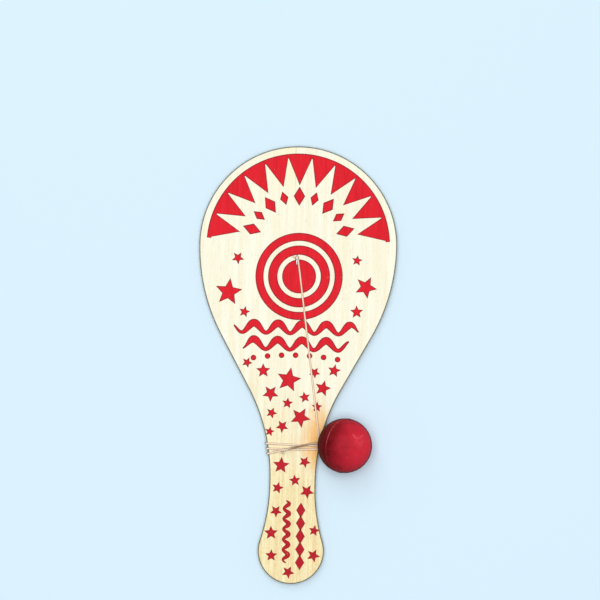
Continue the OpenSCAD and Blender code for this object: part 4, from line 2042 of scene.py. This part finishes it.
@dataclass
class Studio:
    """The camera over the paddle, a pale floor, an even sky and soft lamps, with sizes in metres."""

    shape: PaddleShape
    aim: tuple[float, float] = (0.00197, 0.0419)
    height: float = 2.5
    view_width: float = 0.3852
    roll_deg: float = 1.40
    floor_half: float = 3.0
    floor_colour: Rgba = srgb(219, 241, 254)
    floor_bounce: Rgba = (0.34, 0.39, 0.43, 1.0)
    backdrop: Rgba = srgb(232, 245, 252)
    sky: Rgba = (0.97, 0.985, 1.0, 1.0)
    sky_strength: float = 0.27
    lamps: tuple[Lamp, ...] = (Lamp("key_lamp", (-0.7, 2.1, 3.2), 2.0, 26.0),
                               Lamp("top_lamp", (0.0, 0.1, 4.0), 2.3, 108.5))

    def camera(self) -> None:
        """Places the camera square to the paddle's face, turned as the photograph is."""
        data = bpy.data.cameras.new("camera")
        data.sensor_width = 36.0
        data.lens = data.sensor_width * self.height / self.view_width
        data.clip_start, data.clip_end = 0.1, 20.0
        made = object_of("camera", data)
        made.location = (*self.aim, self.shape.face_z * MM + self.height)
        made.rotation_euler = (0.0, 0.0, math.radians(self.roll_deg))
        bpy.context.scene.camera = made

    def floor(self) -> None:
        """A wide pale floor that keeps the object's shadow."""
        mesh = bpy.data.meshes.new("floor")
        half = self.floor_half
        corners = [(-half, -half, 0), (half, -half, 0), (half, half, 0), (-half, half, 0)]
        mesh.from_pydata(corners, [], [(0, 1, 2, 3)])
        material, tree, shader, _ = new_material("floor_card")
        path = put(tree, "ShaderNodeLightPath")
        seen = calc(tree, "MAXIMUM", path.outputs["Is Camera Ray"], path.outputs["Is Glossy Ray"])
        seen = calc(tree, "MAXIMUM", seen, path.outputs["Is Transmission Ray"])
        colour = blend_colours(tree, seen, self.floor_bounce, self.floor_colour)
        tree.links.new(colour, shader.inputs["Base Color"])
        shader.inputs["Roughness"].default_value = 1.0
        shader.inputs["Specular IOR Level"].default_value = 0.0
        mesh.materials.append(material)
        object_of("floor", mesh)

    def world(self) -> None:
        """An even pale sky, which the camera sees as the backdrop's colour."""
        world = bpy.data.worlds.new("studio")
        bpy.context.scene.world = world
        world.use_nodes = True
        tree = world.node_tree
        tree.nodes.clear()
        path = put(tree, "ShaderNodeLightPath")
        seen = calc(tree, "MAXIMUM", path.outputs["Is Camera Ray"], path.outputs["Is Glossy Ray"])
        light = put(tree, "ShaderNodeBackground", {"Color": self.sky, "Strength": self.sky_strength})
        shown = put(tree, "ShaderNodeBackground", {"Color": self.backdrop, "Strength": 1.0})
        both = put(tree, "ShaderNodeMixShader", {0: seen, 1: light.outputs[0], 2: shown.outputs[0]})
        put(tree, "ShaderNodeOutputWorld", {"Surface": both.outputs[0]})

    @staticmethod
    def light(lamp: Lamp) -> None:
        """Hangs one lamp, which faces the frame's middle.

        Args:
            lamp: The lamp.
        """
        data = bpy.data.lights.new(lamp.name, "AREA")
        data.shape, data.size, data.energy = "SQUARE", lamp.size, lamp.power
        made = object_of(lamp.name, data)
        made.location = lamp.place
        made.rotation_euler = (Vector() - Vector(lamp.place)).to_track_quat("-Z", "Y").to_euler()

    def build(self) -> None:
        """Sets up the whole studio."""
        self.camera()
        self.floor()
        self.world()
        for lamp in self.lamps:
            self.light(lamp)


# ---------------------------------------------------------------------------------------------
# The whole game
# ---------------------------------------------------------------------------------------------


def main() -> None:
    """Builds the studio and every piece."""
    logging.basicConfig(level=logging.INFO, format="%(message)s")
    bpy.context.scene.view_settings.view_transform = "Standard"
    shape = PaddleShape()
    Studio(shape).build()
    grain, dust, skin = grain_group(), dust_group(), skin_group()
    woods = {
        "face_ply": WoodFinish("face_veneer", joint_x=-2.9),
        "core_ply": WoodFinish("core_veneer", pale=srgb(232, 206, 162), dark=srgb(196, 156, 104),
                               edge=srgb(168, 142, 104), warmth=0.0, turned=True, relief=0.12, roughness=0.75),
        "back_ply": WoodFinish("back_veneer", pale=srgb(246, 236, 204), dark=srgb(230, 212, 168), warmth=0.35),
    }
    rim_ink = InkFinish("red_ink_rim", colour=srgb(156, 10, 34), thin=srgb(138, 12, 30))
    thread = ThreadFinish().material(dust, skin)
    PaddleBoard(shape).build({node: wood.material(grain) for node, wood in woods.items()})
    FacePrint(shape).build(InkFinish().material(grain), rim_ink.material(grain))
    dressed("staple", WireFinish().material())
    elastic = ElasticThread(shape)
    elastic.build(thread)
    ball = RubberBall(elastic.ball_at, -elastic.lead_way)
    ball.build(BallFinish(ball.at, ball.ball_d / 2).material(dust, skin), thread)


if __name__ == "__main__":
    main()
